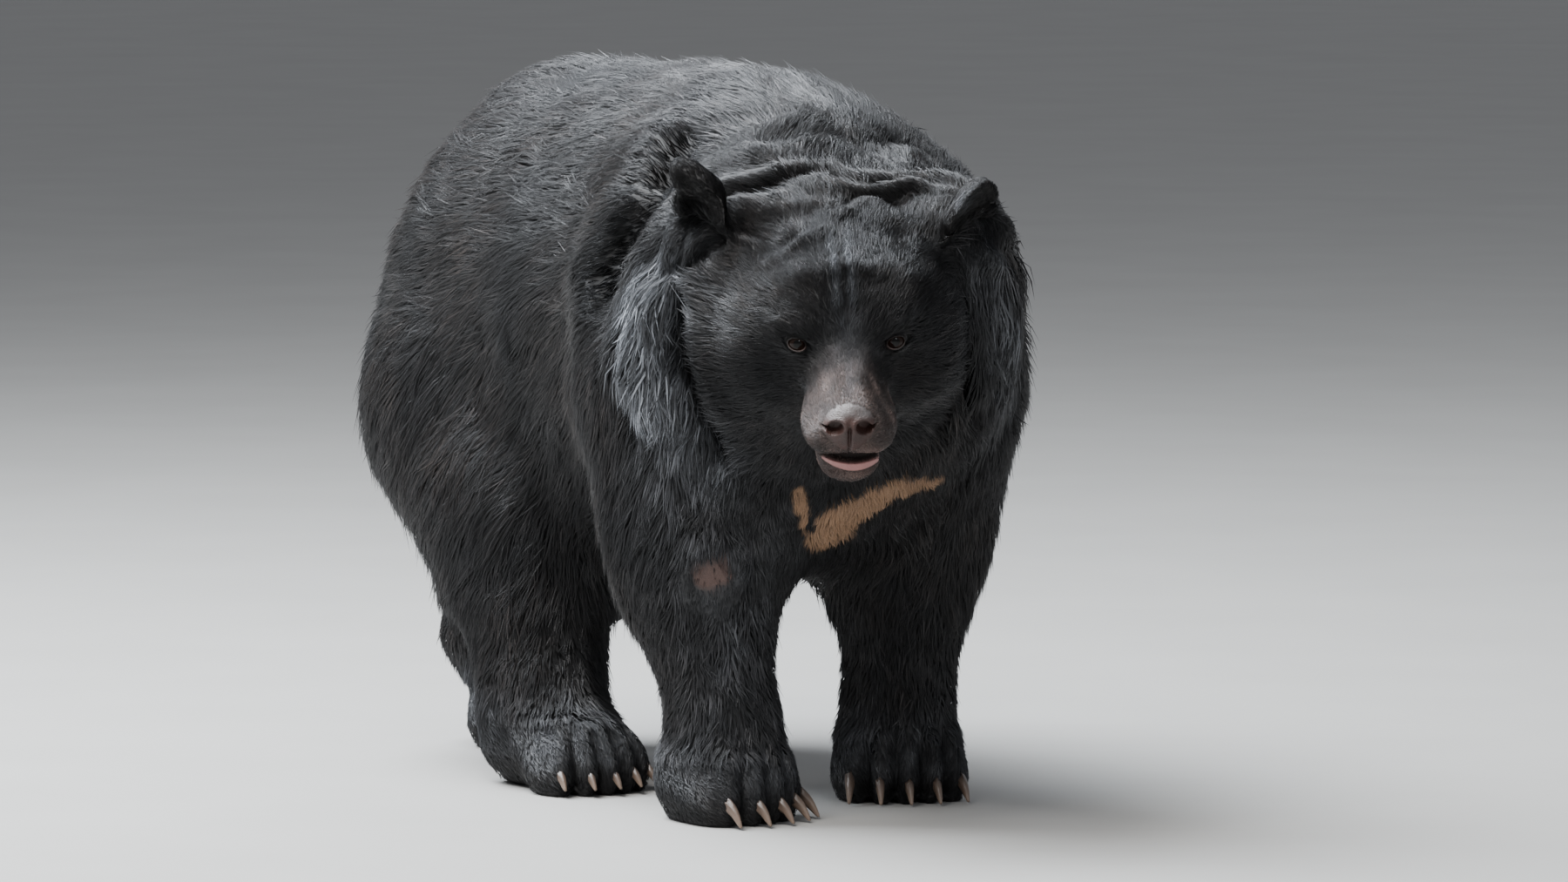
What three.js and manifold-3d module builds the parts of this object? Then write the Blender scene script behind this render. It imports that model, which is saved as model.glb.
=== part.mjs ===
// A life-size display model of an adult male Asiatic black bear, walking: head low and turned to its
// right, right fore and hind feet forward, left hind foot back.
// Millimetres, +Z up, the head towards -Y and the bear's own left towards +X. The origin is on the floor,
// under the middle of the bounding box.
//
// The body is one smooth signed-distance field, made of named muscle and fat masses that are blended
// together. It is meshed region by region, finer where the form is small, and parted with thin flat cuts.

import * as THREE from "three";
import { mergeVertices } from "three/addons/utils/BufferGeometryUtils.js";
import Module from "manifold-3d";

const wasm = await Module();
wasm.setup();

const at = (x, y, z) => new THREE.Vector3(x, y, z);
const radians = THREE.MathUtils.degToRad;
const mix = THREE.MathUtils.lerp;
const clamp = THREE.MathUtils.clamp;

// ---------------------------------------------------------------- driving dimensions

const SHOULDER_Y = -290; // the shoulder joints, along the body
const HIP_Y = 330; // the hip joints
const BODY_AXIS_Z = 580; // height of the trunk's own middle line
const CHEST_HALF_WIDTH = 228;
const BELLY_HALF_WIDTH = 258;
const RUMP_HALF_WIDTH = 226;

const HEAD_CENTRE = at(-97, -566, 641); // the middle of the braincase
const HEAD_YAW = -24; // turned to the bear's right
const HEAD_PITCH = 27; // nose down
const HEAD_ROLL = -1;
const EYE = { side: 57.5, forward: 108, up: 11, radius: 13, proud: 3 }; // proud of the lids' line
const EAR = { base: at(140, -38, 46), tip: at(186, -38, 164), width: 84, turn: 1.3, around: 14 };
const MUZZLE_LENGTH = 134; // from between the eyes to the nose's front
const MOUTH_OPEN = 12; // between the lips, at the front

const CLAW = {
  front: { length: 60, root: 9, curl: 66 },
  hind: { length: 48, root: 8, curl: 62 },
  height: 34, // of the root's middle
  fan: 6, // degrees between neighbours
};
const TOE_REACH = 12; // from a toe's middle to its claw's root

const SEAT_GAP = 2; // under an ear or a claw
const KNEE_CUT = 238; // height of the cut between the upper and lower legs
const CUT = 0.6; // width of the thin cuts between parts
const SOLE_LEVEL = 0;

// Where each foot stands: the middle of its toes, the way that it points (degrees, to the left is +),
// how far its heel is lifted, and its elbow or knee.
const FEET = {
  front_right: { side: -1, toes: at(-118, -420, 0), points: 24, lift: 0, bend: at(-164, -312, 330) },
  front_left: { side: 1, toes: at(126, -312, 0), points: -18, lift: 0, bend: at(150, -256, 330) },
  hind_right: { side: -1, toes: at(-160, -60, 0), points: 8, lift: 0, bend: at(-160, 150, 350) },
  hind_left: { side: 1, toes: at(5, 455, 0), points: 20, lift: 34, bend: at(112, 268, 356) },
};
const isFront = (foot) => foot.bend.y < 0;

// Sizes of the mesh's cells, finer where the form is small.
const CELL = { trunk: 70, neck: 60, head: 31, face: 17.5, leg: 55, shank: 44, paw: 25.5, tail: 32 };

// ---------------------------------------------------------------- signed-distance masses

// An ellipsoid with its radii along its own axes; turn is an optional Euler for those axes.
function mass(centre, radii, turn = null) {
  const back = turn && new THREE.Quaternion().setFromEuler(turn).invert();
  const q = at(0, 0, 0);
  return (p) => {
    q.copy(p).sub(centre);
    if (back) q.applyQuaternion(back);
    const k0 = Math.hypot(q.x / radii.x, q.y / radii.y, q.z / radii.z);
    const k1 = Math.hypot(q.x / radii.x ** 2, q.y / radii.y ** 2, q.z / radii.z ** 2);
    return k1 < 1e-9 ? -Math.min(radii.x, radii.y, radii.z) : (k0 * (k0 - 1)) / k1;
  };
}

// A round bar from a to b whose radius runs from ra to rb.
function bar(a, ra, b, rb) {
  const along = b.clone().sub(a);
  const length2 = along.lengthSq();
  const q = at(0, 0, 0);
  return (p) => {
    q.copy(p).sub(a);
    const t = clamp(q.dot(along) / length2, 0, 1);
    q.addScaledVector(along, -t);
    return q.length() - mix(ra, rb, t);
  };
}

// The lower of two distances, with the corner between them filled over the width k.
function soften(d1, d2, k) {
  const h = Math.max(k - Math.abs(d1 - d2), 0) / k;
  return Math.min(d1, d2) - (h * h * k) / 4;
}

function blend(k, ...shapes) {
  return (p) => shapes.reduce((d, shape) => soften(d, shape(p), k), 1e4);
}

// ---------------------------------------------------------------- trunk, neck and tail

const sides = [-1, 1];

function trunkField() {
  const z = BODY_AXIS_Z;
  return blend(
    110,
    mass(at(0, SHOULDER_Y + 40, z - 25), at(CHEST_HALF_WIDTH, 235, 262)),
    mass(at(0, 40, z + 6), at(BELLY_HALF_WIDTH, 370, 322)),
    mass(at(6, HIP_Y - 5, z + 24), at(RUMP_HALF_WIDTH, 262, 298)),
    mass(at(-12, SHOULDER_Y + 90, z + 150), at(160, 220, 165)),
    ...sides.map((s) => mass(at(s * 165, SHOULDER_Y + 10, z - 20), at(92, 140, 220))),
    ...sides.map((s) => mass(at(s * 134, HIP_Y + 20, z - 80), at(102, 196, 235))),
  );
}

function neckField() {
  const throat = HEAD_CENTRE.clone().add(at(20, 60, -40));
  const root = at(-12, SHOULDER_Y - 30, BODY_AXIS_Z + 30);
  return blend(
    90,
    bar(root, 200, HEAD_CENTRE.clone().add(at(36, 100, -12)), 164),
    bar(at(-20, SHOULDER_Y - 50, BODY_AXIS_Z - 110), 130, throat, 104),
    bar(root.clone().add(at(-16, 60, 92)), 122, HEAD_CENTRE.clone().add(at(28, 128, 44)), 98),
    // the long-haired ruff hangs on both sides of the neck, behind the cheeks
    ...sides.map((s) => mass(onHead(s * 148, -84, -50), at(84, 78, 160), headTurn())),
  );
}

function tailField() {
  return bar(at(0, HIP_Y + 235, 640), 46, at(4, HIP_Y + 292, 565), 24);
}

// ---------------------------------------------------------------- head

function headTurn() {
  return new THREE.Euler(radians(HEAD_PITCH), radians(HEAD_ROLL), radians(HEAD_YAW), "ZYX");
}

// A place on the head: to its left, forward from the braincase's middle, and up.
function onHead(left, forward, up) {
  return at(left, -forward, up).applyEuler(headTurn()).add(HEAD_CENTRE);
}

// A direction on the head, in the same terms.
function onHeadWay(left, forward, up) {
  return at(left, -forward, up).applyEuler(headTurn()).normalize();
}

function headMass(left, forward, up, rx, ry, rz) {
  return mass(onHead(left, forward, up), at(rx, ry, rz), headTurn());
}

const NOSE_FORWARD = EYE.forward + MUZZLE_LENGTH;

function skullField() {
  return blend(
    36,
    headMass(0, -8, 4, 128, 126, 106), // braincase
    headMass(0, 56, 40, 90, 62, 56), // forehead
    ...sides.map((s) => headMass(s * 96, 4, -34, 62, 84, 104)), // cheeks
    ...sides.map((s) => headMass(s * 48, 84, 34, 38, 30, 22)), // brows
    headMass(0, 26, -80, 86, 92, 64), // throat under the jaws
  );
}

function muzzleField() {
  return blend(
    20,
    bar(onHead(0, 92, -36), 54, onHead(0, NOSE_FORWARD - 48, -50), 38),
    bar(onHead(0, 92, 8), 27, onHead(0, NOSE_FORWARD - 24, -22), 22), // bridge
    ...sides.map((s) => headMass(s * 30, NOSE_FORWARD - 64, -58, 28, 48, 27)), // upper lips
    headMass(0, NOSE_FORWARD - 19, -36, 35, 20, 23), // nose pad
  );
}

function jawField() {
  const tip = NOSE_FORWARD - 66;
  return blend(
    22,
    bar(onHead(0, 84, -92), 54, onHead(0, tip, -94 - MOUTH_OPEN), 29),
    headMass(0, tip + 4, -92 - MOUTH_OPEN, 38, 36, 20), // lower lip
  );
}

const fields = {
  trunk: trunkField(),
  neck: neckField(),
  tail: tailField(),
  skull: skullField(),
  muzzle: muzzleField(),
  jaw: jawField(),
};

// ---------------------------------------------------------------- legs and paws

// Directions on a foot that stands level: ahead towards its toes, and out to the bear's own left.
function footFrame(foot) {
  const turn = radians(foot.points);
  return {
    ahead: at(Math.sin(turn), -Math.cos(turn), 0),
    left: at(Math.cos(turn), Math.sin(turn), 0),
  };
}

function onFoot(foot, left, ahead, up) {
  const frame = footFrame(foot);
  return foot.toes
    .clone()
    .addScaledVector(frame.left, left)
    .addScaledVector(frame.ahead, ahead)
    .add(at(0, 0, up));
}

function frontLegField(foot) {
  const wrist = onFoot(foot, 0, -68, 98);
  const shoulder = at(foot.side * 155, SHOULDER_Y + 5, 500);
  return blend(
    60,
    bar(shoulder, 126, foot.bend, 106),
    bar(foot.bend, 100, wrist, 59),
    bar(wrist, 59, onFoot(foot, 0, -62, 60), 59),
  );
}

function hindLegField(foot) {
  const { heel, ankle } = hindFoot(foot);
  const hip = at(foot.side * 132, HIP_Y, 480);
  const calf = ankle.clone().lerp(foot.bend, 0.6).add(at(0, 42, 10));
  return blend(
    70,
    bar(hip, 152, foot.bend, 120),
    bar(foot.bend, 108, ankle, 72),
    bar(hip.clone().add(at(0, 86, -50)), 130, calf, 96),
    bar(ankle, 64, heel, 46),
  );
}

// The heel and ankle of a hind foot; a raised heel swings up about the toes.
function hindFoot(foot) {
  const lift = radians(foot.lift);
  const swing = (back, up) =>
    onFoot(foot, 0, up * Math.sin(lift) - back * Math.cos(lift), back * Math.sin(lift) + up * Math.cos(lift));
  return { heel: swing(176, 54), ankle: swing(146, 108), instep: swing(78, 50) };
}

const TOES = [-2, -1, 0, 1, 2];

function toeSpot(foot, toe) {
  // the toes stand in a shallow arc, the middle one furthest ahead
  const spread = isFront(foot) ? 31 : 29;
  return onFoot(foot, toe * spread, -22 - 5 * toe * toe, 24);
}

function pawField(foot) {
  const front = isFront(foot);
  const { heel, instep } = hindFoot(foot);
  const pad = front ? onFoot(foot, 0, -92, 46) : instep;
  return blend(
    30,
    bar(onFoot(foot, -34, -58, 40), 38, onFoot(foot, 34, -58, 40), 38),
    bar(onFoot(foot, 0, -50, 44), 52, pad, front ? 60 : 58),
    bar(pad, front ? 58 : 56, front ? onFoot(foot, 0, -100, 48) : heel, front ? 58 : 50),
    ...TOES.map((toe) => mass(toeSpot(foot, toe), at(20, 33, 27))),
  );
}

for (const [name, foot] of Object.entries(FEET)) {
  const leg = isFront(foot) ? frontLegField(foot) : hindLegField(foot);
  const paw = pawField(foot);
  fields[name] = (p) => soften(leg(p), paw(p), 34);
}

// The whole coat's surface: every mass blended, more loosely on the body than on the face and feet.
function coat(p) {
  let body = soften(fields.trunk(p), fields.neck(p), 120);
  for (const name of Object.keys(FEET)) body = soften(body, fields[name](p), 55);
  body = soften(body, fields.skull(p), 20);
  body = soften(body, fields.muzzle(p), 26);
  return soften(body, fields.jaw(p), 10);
}

// ---------------------------------------------------------------- meshing a field

const steps = [
  [1, 0, 0],
  [0, 1, 0],
  [0, 0, 1],
];
const corners = [0, 1, 2, 3, 4, 5, 6, 7].map((c) => [c & 1, (c >> 1) & 1, (c >> 2) & 1]);

// Meshes the surface where field is 0 inside a box, as one quad per crossed grid edge (surface nets).
// The box's outermost layer counts as outside, so the mesh is closed.
function meshOf(field, low, high, cell) {
  const size = high.clone().sub(low);
  const n = [size.x, size.y, size.z].map((length) => Math.ceil(length / cell) + 1);
  const index = (i, j, k) => (k * n[1] + j) * n[0] + i;
  const node = (i, j, k) => at(low.x + i * cell, low.y + j * cell, low.z + k * cell);
  const value = new Float64Array(n[0] * n[1] * n[2]);
  for (let k = 0; k < n[2]; k++)
    for (let j = 0; j < n[1]; j++)
      for (let i = 0; i < n[0]; i++) {
        const edge = [i, j, k].some((c, axis) => c === 0 || c === n[axis] - 1);
        const d = field(node(i, j, k));
        value[index(i, j, k)] = edge ? Math.max(d, cell / 4) : d;
      }

  untangle(value, n, index, cell);
  const positions = [];
  const vertexOf = new Map();
  for (let k = 0; k < n[2] - 1; k++)
    for (let j = 0; j < n[1] - 1; j++)
      for (let i = 0; i < n[0] - 1; i++) {
        const sum = at(0, 0, 0);
        let crossings = 0;
        for (const [ci, cj, ck] of corners)
          for (const [si, sj, sk] of steps) {
            if ((si && ci) || (sj && cj) || (sk && ck)) continue;
            const a = value[index(i + ci, j + cj, k + ck)];
            const b = value[index(i + ci + si, j + cj + sj, k + ck + sk)];
            if (a < 0 === b < 0) continue;
            const from = node(i + ci, j + cj, k + ck);
            sum.add(from.lerp(node(i + ci + si, j + cj + sj, k + ck + sk), a / (a - b)));
            crossings++;
          }
        if (!crossings) continue;
        sum.divideScalar(crossings);
        vertexOf.set(index(i, j, k), positions.length / 3);
        positions.push(...settle(field, sum, cell).toArray());
      }

  const faces = [];
  for (let k = 0; k < n[2] - 1; k++)
    for (let j = 0; j < n[1] - 1; j++)
      for (let i = 0; i < n[0] - 1; i++)
        steps.forEach(([si, sj, sk], axis) => {
          const a = value[index(i, j, k)];
          const b = value[index(i + si, j + sj, k + sk)];
          if (a < 0 === b < 0) return;
          const [u, w] = [steps[(axis + 1) % 3], steps[(axis + 2) % 3]];
          const around = [
            [0, 0],
            [1, 0],
            [1, 1],
            [0, 1],
          ].map(([m, o]) =>
            vertexOf.get(
              index(i - m * u[0] - o * w[0], j - m * u[1] - o * w[1], k - m * u[2] - o * w[2]),
            ),
          );
          if (a >= 0) around.reverse();
          faces.push(...splitQuad(positions, around));
        });
  const geometry = new THREE.BufferGeometry();
  geometry.setAttribute("position", new THREE.Float32BufferAttribute(positions, 3));
  geometry.setIndex(faces);
  return geometry;
}

// Fills the outside nodes of any cell face with two corners in and two out, crossed over, and of any
// cell with inside corners that no cell edge joins, so that the mesh never touches itself.
function untangle(value, n, index, cell) {
  const inner = (i, j, k) => [i, j, k].every((c, axis) => c > 0 && c < n[axis] - 1);
  for (let changed = true; changed; ) {
    changed = false;
    for (let k = 0; k < n[2] - 1; k++)
      for (let j = 0; j < n[1] - 1; j++)
        for (let i = 0; i < n[0] - 1; i++) {
          const at8 = corners.map(([ci, cj, ck]) => index(i + ci, j + cj, k + ck));
          const isIn = at8.map((v) => value[v] < 0);
          if (joined(isIn, true) && joined(isIn, false) && !crossedFace(isIn)) continue;
          const free = corners
            .map(([ci, cj, ck], c) => [at8[c], inner(i + ci, j + cj, k + ck)])
            .filter(([v, ok]) => ok && value[v] >= 0)
            .sort(([v], [w]) => value[v] - value[w]);
          if (free.length) value[free[0][0]] = -cell / 50;
          else at8.filter((v) => value[v] < 0).forEach((v) => (value[v] = cell / 50));
          changed = true;
        }
  }
}

// Whether the cell's corners on one side of the surface are all joined by the cell's edges.
function joined(isIn, side) {
  const members = isIn.flatMap((v, c) => (v === side ? [c] : []));
  if (members.length < 2) return true;
  const reached = new Set([members[0]]);
  for (const c of reached)
    for (const bit of [1, 2, 4]) if (isIn[c ^ bit] === side) reached.add(c ^ bit);
  return reached.size === members.length;
}

function crossedFace(isIn) {
  return [
    [1, 2],
    [2, 4],
    [4, 1],
  ].some(([u, w]) =>
    [0, 7 ^ u ^ w].some(
      (c) => isIn[c] === isIn[c ^ u ^ w] && isIn[c ^ u] === isIn[c ^ w] && isIn[c] !== isIn[c ^ u],
    ),
  );
}

// Moves a vertex onto the surface, by no more than a third of a cell.
function settle(field, p, cell) {
  const h = cell * 0.05;
  for (let round = 0; round < 2; round++) {
    const d = field(p);
    const slope = at(
      field(at(p.x + h, p.y, p.z)) - d,
      field(at(p.x, p.y + h, p.z)) - d,
      field(at(p.x, p.y, p.z + h)) - d,
    ).divideScalar(h);
    const move = clamp(-d / Math.max(slope.lengthSq(), 0.2), -cell / 3, cell / 3);
    p.addScaledVector(slope, move);
  }
  return p;
}

// Two triangles, along the quad's shorter diagonal.
function splitQuad(positions, [a, b, c, d]) {
  const corner = (v) => at(positions[3 * v], positions[3 * v + 1], positions[3 * v + 2]);
  const short = corner(a).distanceTo(corner(c)) <= corner(b).distanceTo(corner(d));
  return short ? [a, b, c, a, c, d] : [b, c, d, b, d, a];
}

// ---------------------------------------------------------------- solids and cuts

function solidOf(geometry) {
  const bare = geometry.clone();
  bare.deleteAttribute("normal");
  bare.deleteAttribute("uv");
  const merged = mergeVertices(bare, 1e-4);
  return new wasm.Manifold(
    new wasm.Mesh({
      numProp: 3,
      vertProperties: new Float32Array(merged.attributes.position.array),
      triVerts: new Uint32Array(merged.index.array),
    }),
  );
}

function geometryOf(solid) {
  const mesh = solid.getMesh();
  const geometry = new THREE.BufferGeometry();
  const points = new Float32Array(mesh.numVert * 3);
  for (let v = 0; v < mesh.numVert; v++)
    for (let c = 0; c < 3; c++) points[3 * v + c] = mesh.vertProperties[v * mesh.numProp + c];
  geometry.setAttribute("position", new THREE.BufferAttribute(points, 3));
  geometry.setIndex(Array.from(mesh.triVerts));
  return geometry;
}

// The space on the far side of every plane: each is a point on it and the way in. A positive grow
// pushes the planes outwards.
function space(planes, grow = 0) {
  const everything = solidOf(new THREE.BoxGeometry(6000, 6000, 6000));
  return planes.reduce((solid, { through, into }) => {
    const way = into.clone().normalize();
    return solid.trimByPlane(way.toArray(), through.dot(way) - grow);
  }, everything);
}

const plane = (through, into) => ({ through, into });

function boxAround(centre, half) {
  return [centre.clone().sub(half), centre.clone().add(half)];
}

// ---------------------------------------------------------------- where the parts are cut

const muzzleRoot = plane(onHead(0, 130, -20), onHeadWay(0, 1, 0));
const belowKnee = plane(at(0, 0, KNEE_CUT), at(0, 0, -1));

const spaces = {
  nose: [muzzleRoot, plane(onHead(0, NOSE_FORWARD - 21, -12), onHeadWay(0, 1, 0.3))],
  muzzle: [muzzleRoot, plane(onHead(0, NOSE_FORWARD - 60, -82), onHeadWay(0, -0.13, 1))],
  face: [muzzleRoot],
  jaw: [muzzleRoot, plane(onHead(0, 130, -160), onHeadWay(0, 0, 1))],
  head: [plane(onHead(0, -34, 0), at(-0.3, -0.92, -0.22)), plane(at(0, 0, 400), at(0, 0, 1))],
  neck: [plane(at(-14, SHOULDER_Y - 92, 600), at(-0.28, -1, -0.04)), plane(at(0, 0, 330), at(0, 0, 1))],
  trunk: [],
  lower: [belowKnee],
};
for (const [name, foot] of Object.entries(FEET)) {
  const s = foot.side;
  spaces["paw_" + name] = [plane(at(0, 0, isFront(foot) ? 84 : 92), at(0, 0, -1))];
  spaces["lower_" + name] = [belowKnee];
  spaces["upper_" + name] = [
    plane(at(isFront(foot) ? 0 : -40, 0, 0), at(s, 0, 0)),
    plane(at(s * 60, 0, 300), at(s * 0.72, 0, -0.62)),
    ...(isFront(foot)
      ? [plane(at(0, SHOULDER_Y + 170, 300), at(0, -1, 0)), plane(at(0, SHOULDER_Y - 200, 300), at(0, 1, -0.2))]
      : [plane(at(0, HIP_Y - 250, 400), at(0, 1, -0.5))]),
  ];
}

// ---------------------------------------------------------------- the parts of the coat

// A part is what its own spaces leave of a field, meshed in a box, without some other parts' spaces.
function partOf(name, field, box, cell, without = []) {
  let solid = solidOf(meshOf(field, ...box, cell)).intersect(space(spaces[name]));
  for (const other of without) solid = solid.subtract(space(spaces[other], CUT));
  return largest(solid.trimByPlane([0, 0, 1], SOLE_LEVEL));
}

// The one body that is kept where a region takes in an end of something else.
function largest(solid) {
  return solid.decompose().reduce((a, b) => (b.volume() > a.volume() ? b : a));
}

const feet = Object.keys(FEET);
const uppers = feet.map((name) => "upper_" + name);
const headBox = boxAround(HEAD_CENTRE, at(330, 340, 330));
const neckBox = boxAround(at(-60, -480, 580), at(380, 360, 380));
const faceBox = boxAround(onHead(0, 190, -50), at(170, 170, 170));
const tailBox = boxAround(at(0, HIP_Y + 260, 600), at(120, 120, 160));
const wholeBox = [at(-440, -900, 0), at(440, 760, 1020)];

const solids = {
  trunk: partOf("trunk", coat, wholeBox, CELL.trunk, ["lower", ...uppers, "head", "neck"]),
  neck: partOf("neck", coat, neckBox, CELL.neck, ["head", ...uppers]),
  head: partOf("head", coat, headBox, CELL.head, ["face", ...uppers]),
  muzzle: partOf("muzzle", coat, faceBox, CELL.face, ["nose"]),
  jaw: partOf("jaw", coat, faceBox, CELL.face, ["nose", "muzzle"]),
  nose: partOf("nose", coat, faceBox, CELL.face),
};
for (const name of feet) {
  // a lower leg stands free, so it is meshed from its own leg's field alone
  const foot = FEET[name];
  const thigh = at(foot.side * 150, isFront(foot) ? SHOULDER_Y : HIP_Y, 400);
  const shank = onFoot(foot, 0, isFront(foot) ? -60 : -130, 190);
  solids["upper_" + name] = partOf(
    "upper_" + name,
    coat,
    boxAround(thigh, at(260, 360, 300)),
    CELL.leg,
    ["lower"],
  );
  solids["lower_" + name] = partOf(
    "lower_" + name,
    fields[name],
    boxAround(shank, at(300, 340, 210)),
    CELL.shank,
    ["paw_" + name],
  );
  solids["paw_" + name] = partOf(
    "paw_" + name,
    fields[name],
    boxAround(onFoot(foot, 0, -90, 150), at(190, 230, 190)),
    CELL.paw,
  );
}

// ---------------------------------------------------------------- ears, eyes, nostrils and claws

// The body with a little more coat, on the same grid, to clear what stands on it.
const swollen = (field, box, cell) => solidOf(meshOf((p) => field(p) - SEAT_GAP, ...box, cell));
const swollenHead = swollen(coat, headBox, CELL.head);
const swollenNeck = swollen(coat, neckBox, CELL.neck);

// A closed mesh through rings of places with as many in each, whose first and last rings are capped.
function ringed(rings) {
  const around = rings[0].length;
  const faces = [];
  for (let r = 0; r < rings.length - 1; r++)
    for (let a = 0; a < around; a++) {
      const [p, q] = [r * around + a, r * around + ((a + 1) % around)];
      faces.push(p, q + around, q, p, p + around, q + around);
    }
  const last = (rings.length - 1) * around;
  for (let a = 1; a < around - 1; a++) faces.push(0, a, a + 1, last, last + a + 1, last + a);
  const geometry = new THREE.BufferGeometry();
  const positions = rings.flat().flatMap((p) => p.toArray());
  geometry.setAttribute("position", new THREE.Float32BufferAttribute(positions, 3));
  geometry.setIndex(faces);
  return solidOf(geometry);
}

// The ear's section from the middle of its hollow, around the rim, to the middle of its back: how far
// out, as a part of its half width, and how far forward.
const EAR_SECTION = [
  [0.1, -15],
  [0.5, -12],
  [0.8, -2],
  [0.93, 5],
  [1, 0],
  [0.98, -11],
  [0.8, -26],
  [0.45, -35],
  [0.1, -37],
];

function ear(side) {
  const place = (v) => onHead(side * v.x, v.y, v.z);
  const [base, tip] = [place(EAR.base), place(EAR.tip)];
  const up = tip.clone().sub(base).normalize();
  const opens = onHeadWay(side * EAR.turn, 1, 0.05);
  const across = up.clone().cross(opens).normalize();
  const out = across.clone().cross(up).normalize();
  const half = base.distanceTo(tip) * 0.6;
  const middle = tip.clone().addScaledVector(up, -half);
  return ringed(
    EAR_SECTION.map(([wide, forward]) =>
      Array.from({ length: EAR.around }, (_, a) => {
        const turn = (2 * Math.PI * a) / EAR.around;
        return middle
          .clone()
          .addScaledVector(across, (wide * Math.cos(turn) * EAR.width) / 2)
          .addScaledVector(up, wide * Math.sin(turn) * half)
          .addScaledVector(out, forward);
      }),
    ),
  );
}

for (const [name, side] of [
  ["ear_right", -1],
  ["ear_left", 1],
])
  solids[name] = largest(ear(side).subtract(swollenHead).subtract(swollenNeck));

const tail = solidOf(meshOf(fields.tail, ...tailBox, CELL.tail));
solids.tail = largest(tail.subtract(swollen(coat, wholeBox, CELL.trunk)));

function ball(centre, radii, turn = new THREE.Euler(), across = 10, down = 7) {
  const geometry = new THREE.SphereGeometry(1, across, down);
  geometry.rotateX(Math.PI / 2);
  geometry.applyMatrix4(
    new THREE.Matrix4().compose(centre, new THREE.Quaternion().setFromEuler(turn), radii),
  );
  return solidOf(geometry);
}

// The coat's surface straight ahead of a place in the head.
function surfaceAhead(left, up) {
  let forward = 60;
  while (coat(onHead(left, forward, up)) < 0) forward += 0.5;
  return forward;
}

for (const [name, side] of [
  ["eye_right", -1],
  ["eye_left", 1],
]) {
  const forward = surfaceAhead(side * EYE.side, EYE.up) - EYE.radius + EYE.proud;
  const centre = onHead(side * EYE.side, forward, EYE.up);
  const radii = at(1, 1, 1).multiplyScalar(EYE.radius);
  solids[name] = ball(centre, radii, headTurn());
  const socket = ball(centre, radii.clone().addScalar(CUT), headTurn());
  solids.head = largest(solids.head.subtract(socket));
}

for (const side of sides) {
  const nostril = ball(onHead(side * 15, NOSE_FORWARD - 4, -38), at(9, 13, 7), headTurn(), 7, 5);
  solids.nose = solids.nose.subtract(nostril);
}

// A claw is a horn that curls down about the toe's own cross line, from root to tip.
function claw(foot, toe) {
  const { length, root, curl } = isFront(foot) ? CLAW.front : CLAW.hind;
  const spot = toeSpot(foot, toe);
  const frame = footFrame(foot);
  const fan = radians(CLAW.fan * toe);
  const ahead = frame.ahead.clone().applyAxisAngle(at(0, 0, 1), fan);
  const left = frame.left.clone().applyAxisAngle(at(0, 0, 1), fan);
  return ringed(
    [0, 1, 2, 3].map((r) => {
      const t = r / 3;
      const bend = radians(curl) * t;
      const radius = Math.max(root * (1 - t ** 1.6), 0.7);
      const run = (length * Math.sin(bend)) / radians(curl);
      const drop = (length * (1 - Math.cos(bend))) / radians(curl);
      return Array.from({ length: 6 }, (_, a) => {
        const turn = (2 * Math.PI * a) / 6;
        const up = radius * 1.25 * Math.cos(turn);
        return spot
          .clone()
          .addScaledVector(left, radius * 0.8 * Math.sin(turn))
          .addScaledVector(ahead, TOE_REACH + run + up * Math.sin(bend))
          .add(at(0, 0, CLAW.height - spot.z - drop + up * Math.cos(bend)));
      });
    }),
  );
}

for (const name of feet) {
  const foot = FEET[name];
  const box = boxAround(onFoot(foot, 0, -90, 150), at(190, 230, 190));
  const swollenPaw = swollen(fields[name], box, CELL.paw);
  for (const toe of TOES) {
    const number = toe + 3;
    solids["claw_" + name + "_" + number] = largest(claw(foot, toe).subtract(swollenPaw));
  }
}

// ---------------------------------------------------------------- the model

// One finish for each kind of surface, by the start of the part's name.
const FINISHES = {
  claw: { color: 0x8f7a5c, roughness: 0.42 },
  eye: { color: 0x1c0f09, roughness: 0.08 },
  nose: { color: 0x3b2a27, roughness: 0.38 },
  muzzle: { color: 0x2c2524, roughness: 0.7 },
  coat: { color: 0x14161a, roughness: 0.62 },
};

// The origin is put on the floor, under the middle of the bounding box.
const bounds = new THREE.Box3();
for (const solid of Object.values(solids)) bounds.union(new THREE.Box3().setFromBufferAttribute(
  geometryOf(solid).attributes.position,
));
const middle = bounds.getCenter(at(0, 0, 0));

const bear = new THREE.Group();
for (const [name, solid] of Object.entries(solids)) {
  const finish = FINISHES[name.split("_")[0]] ?? FINISHES.coat;
  const mesh = new THREE.Mesh(
    geometryOf(solid).translate(-middle.x, -middle.y, 0),
    new THREE.MeshStandardMaterial({ ...finish, metalness: 0 }),
  );
  mesh.name = name;
  bear.add(mesh);
}

export default bear;
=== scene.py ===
"""A still, life-size Asiatic black bear in mid walk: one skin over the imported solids, its coat of joined
tufts, its eyes and claws, and a plain studio round it. All is in metres, in the frame of the solids."""

import math

import bpy
import numpy as np
from bpy.props import FloatProperty, FloatVectorProperty, IntProperty, PointerProperty
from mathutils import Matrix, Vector
from mathutils.bvhtree import BVHTree


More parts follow.
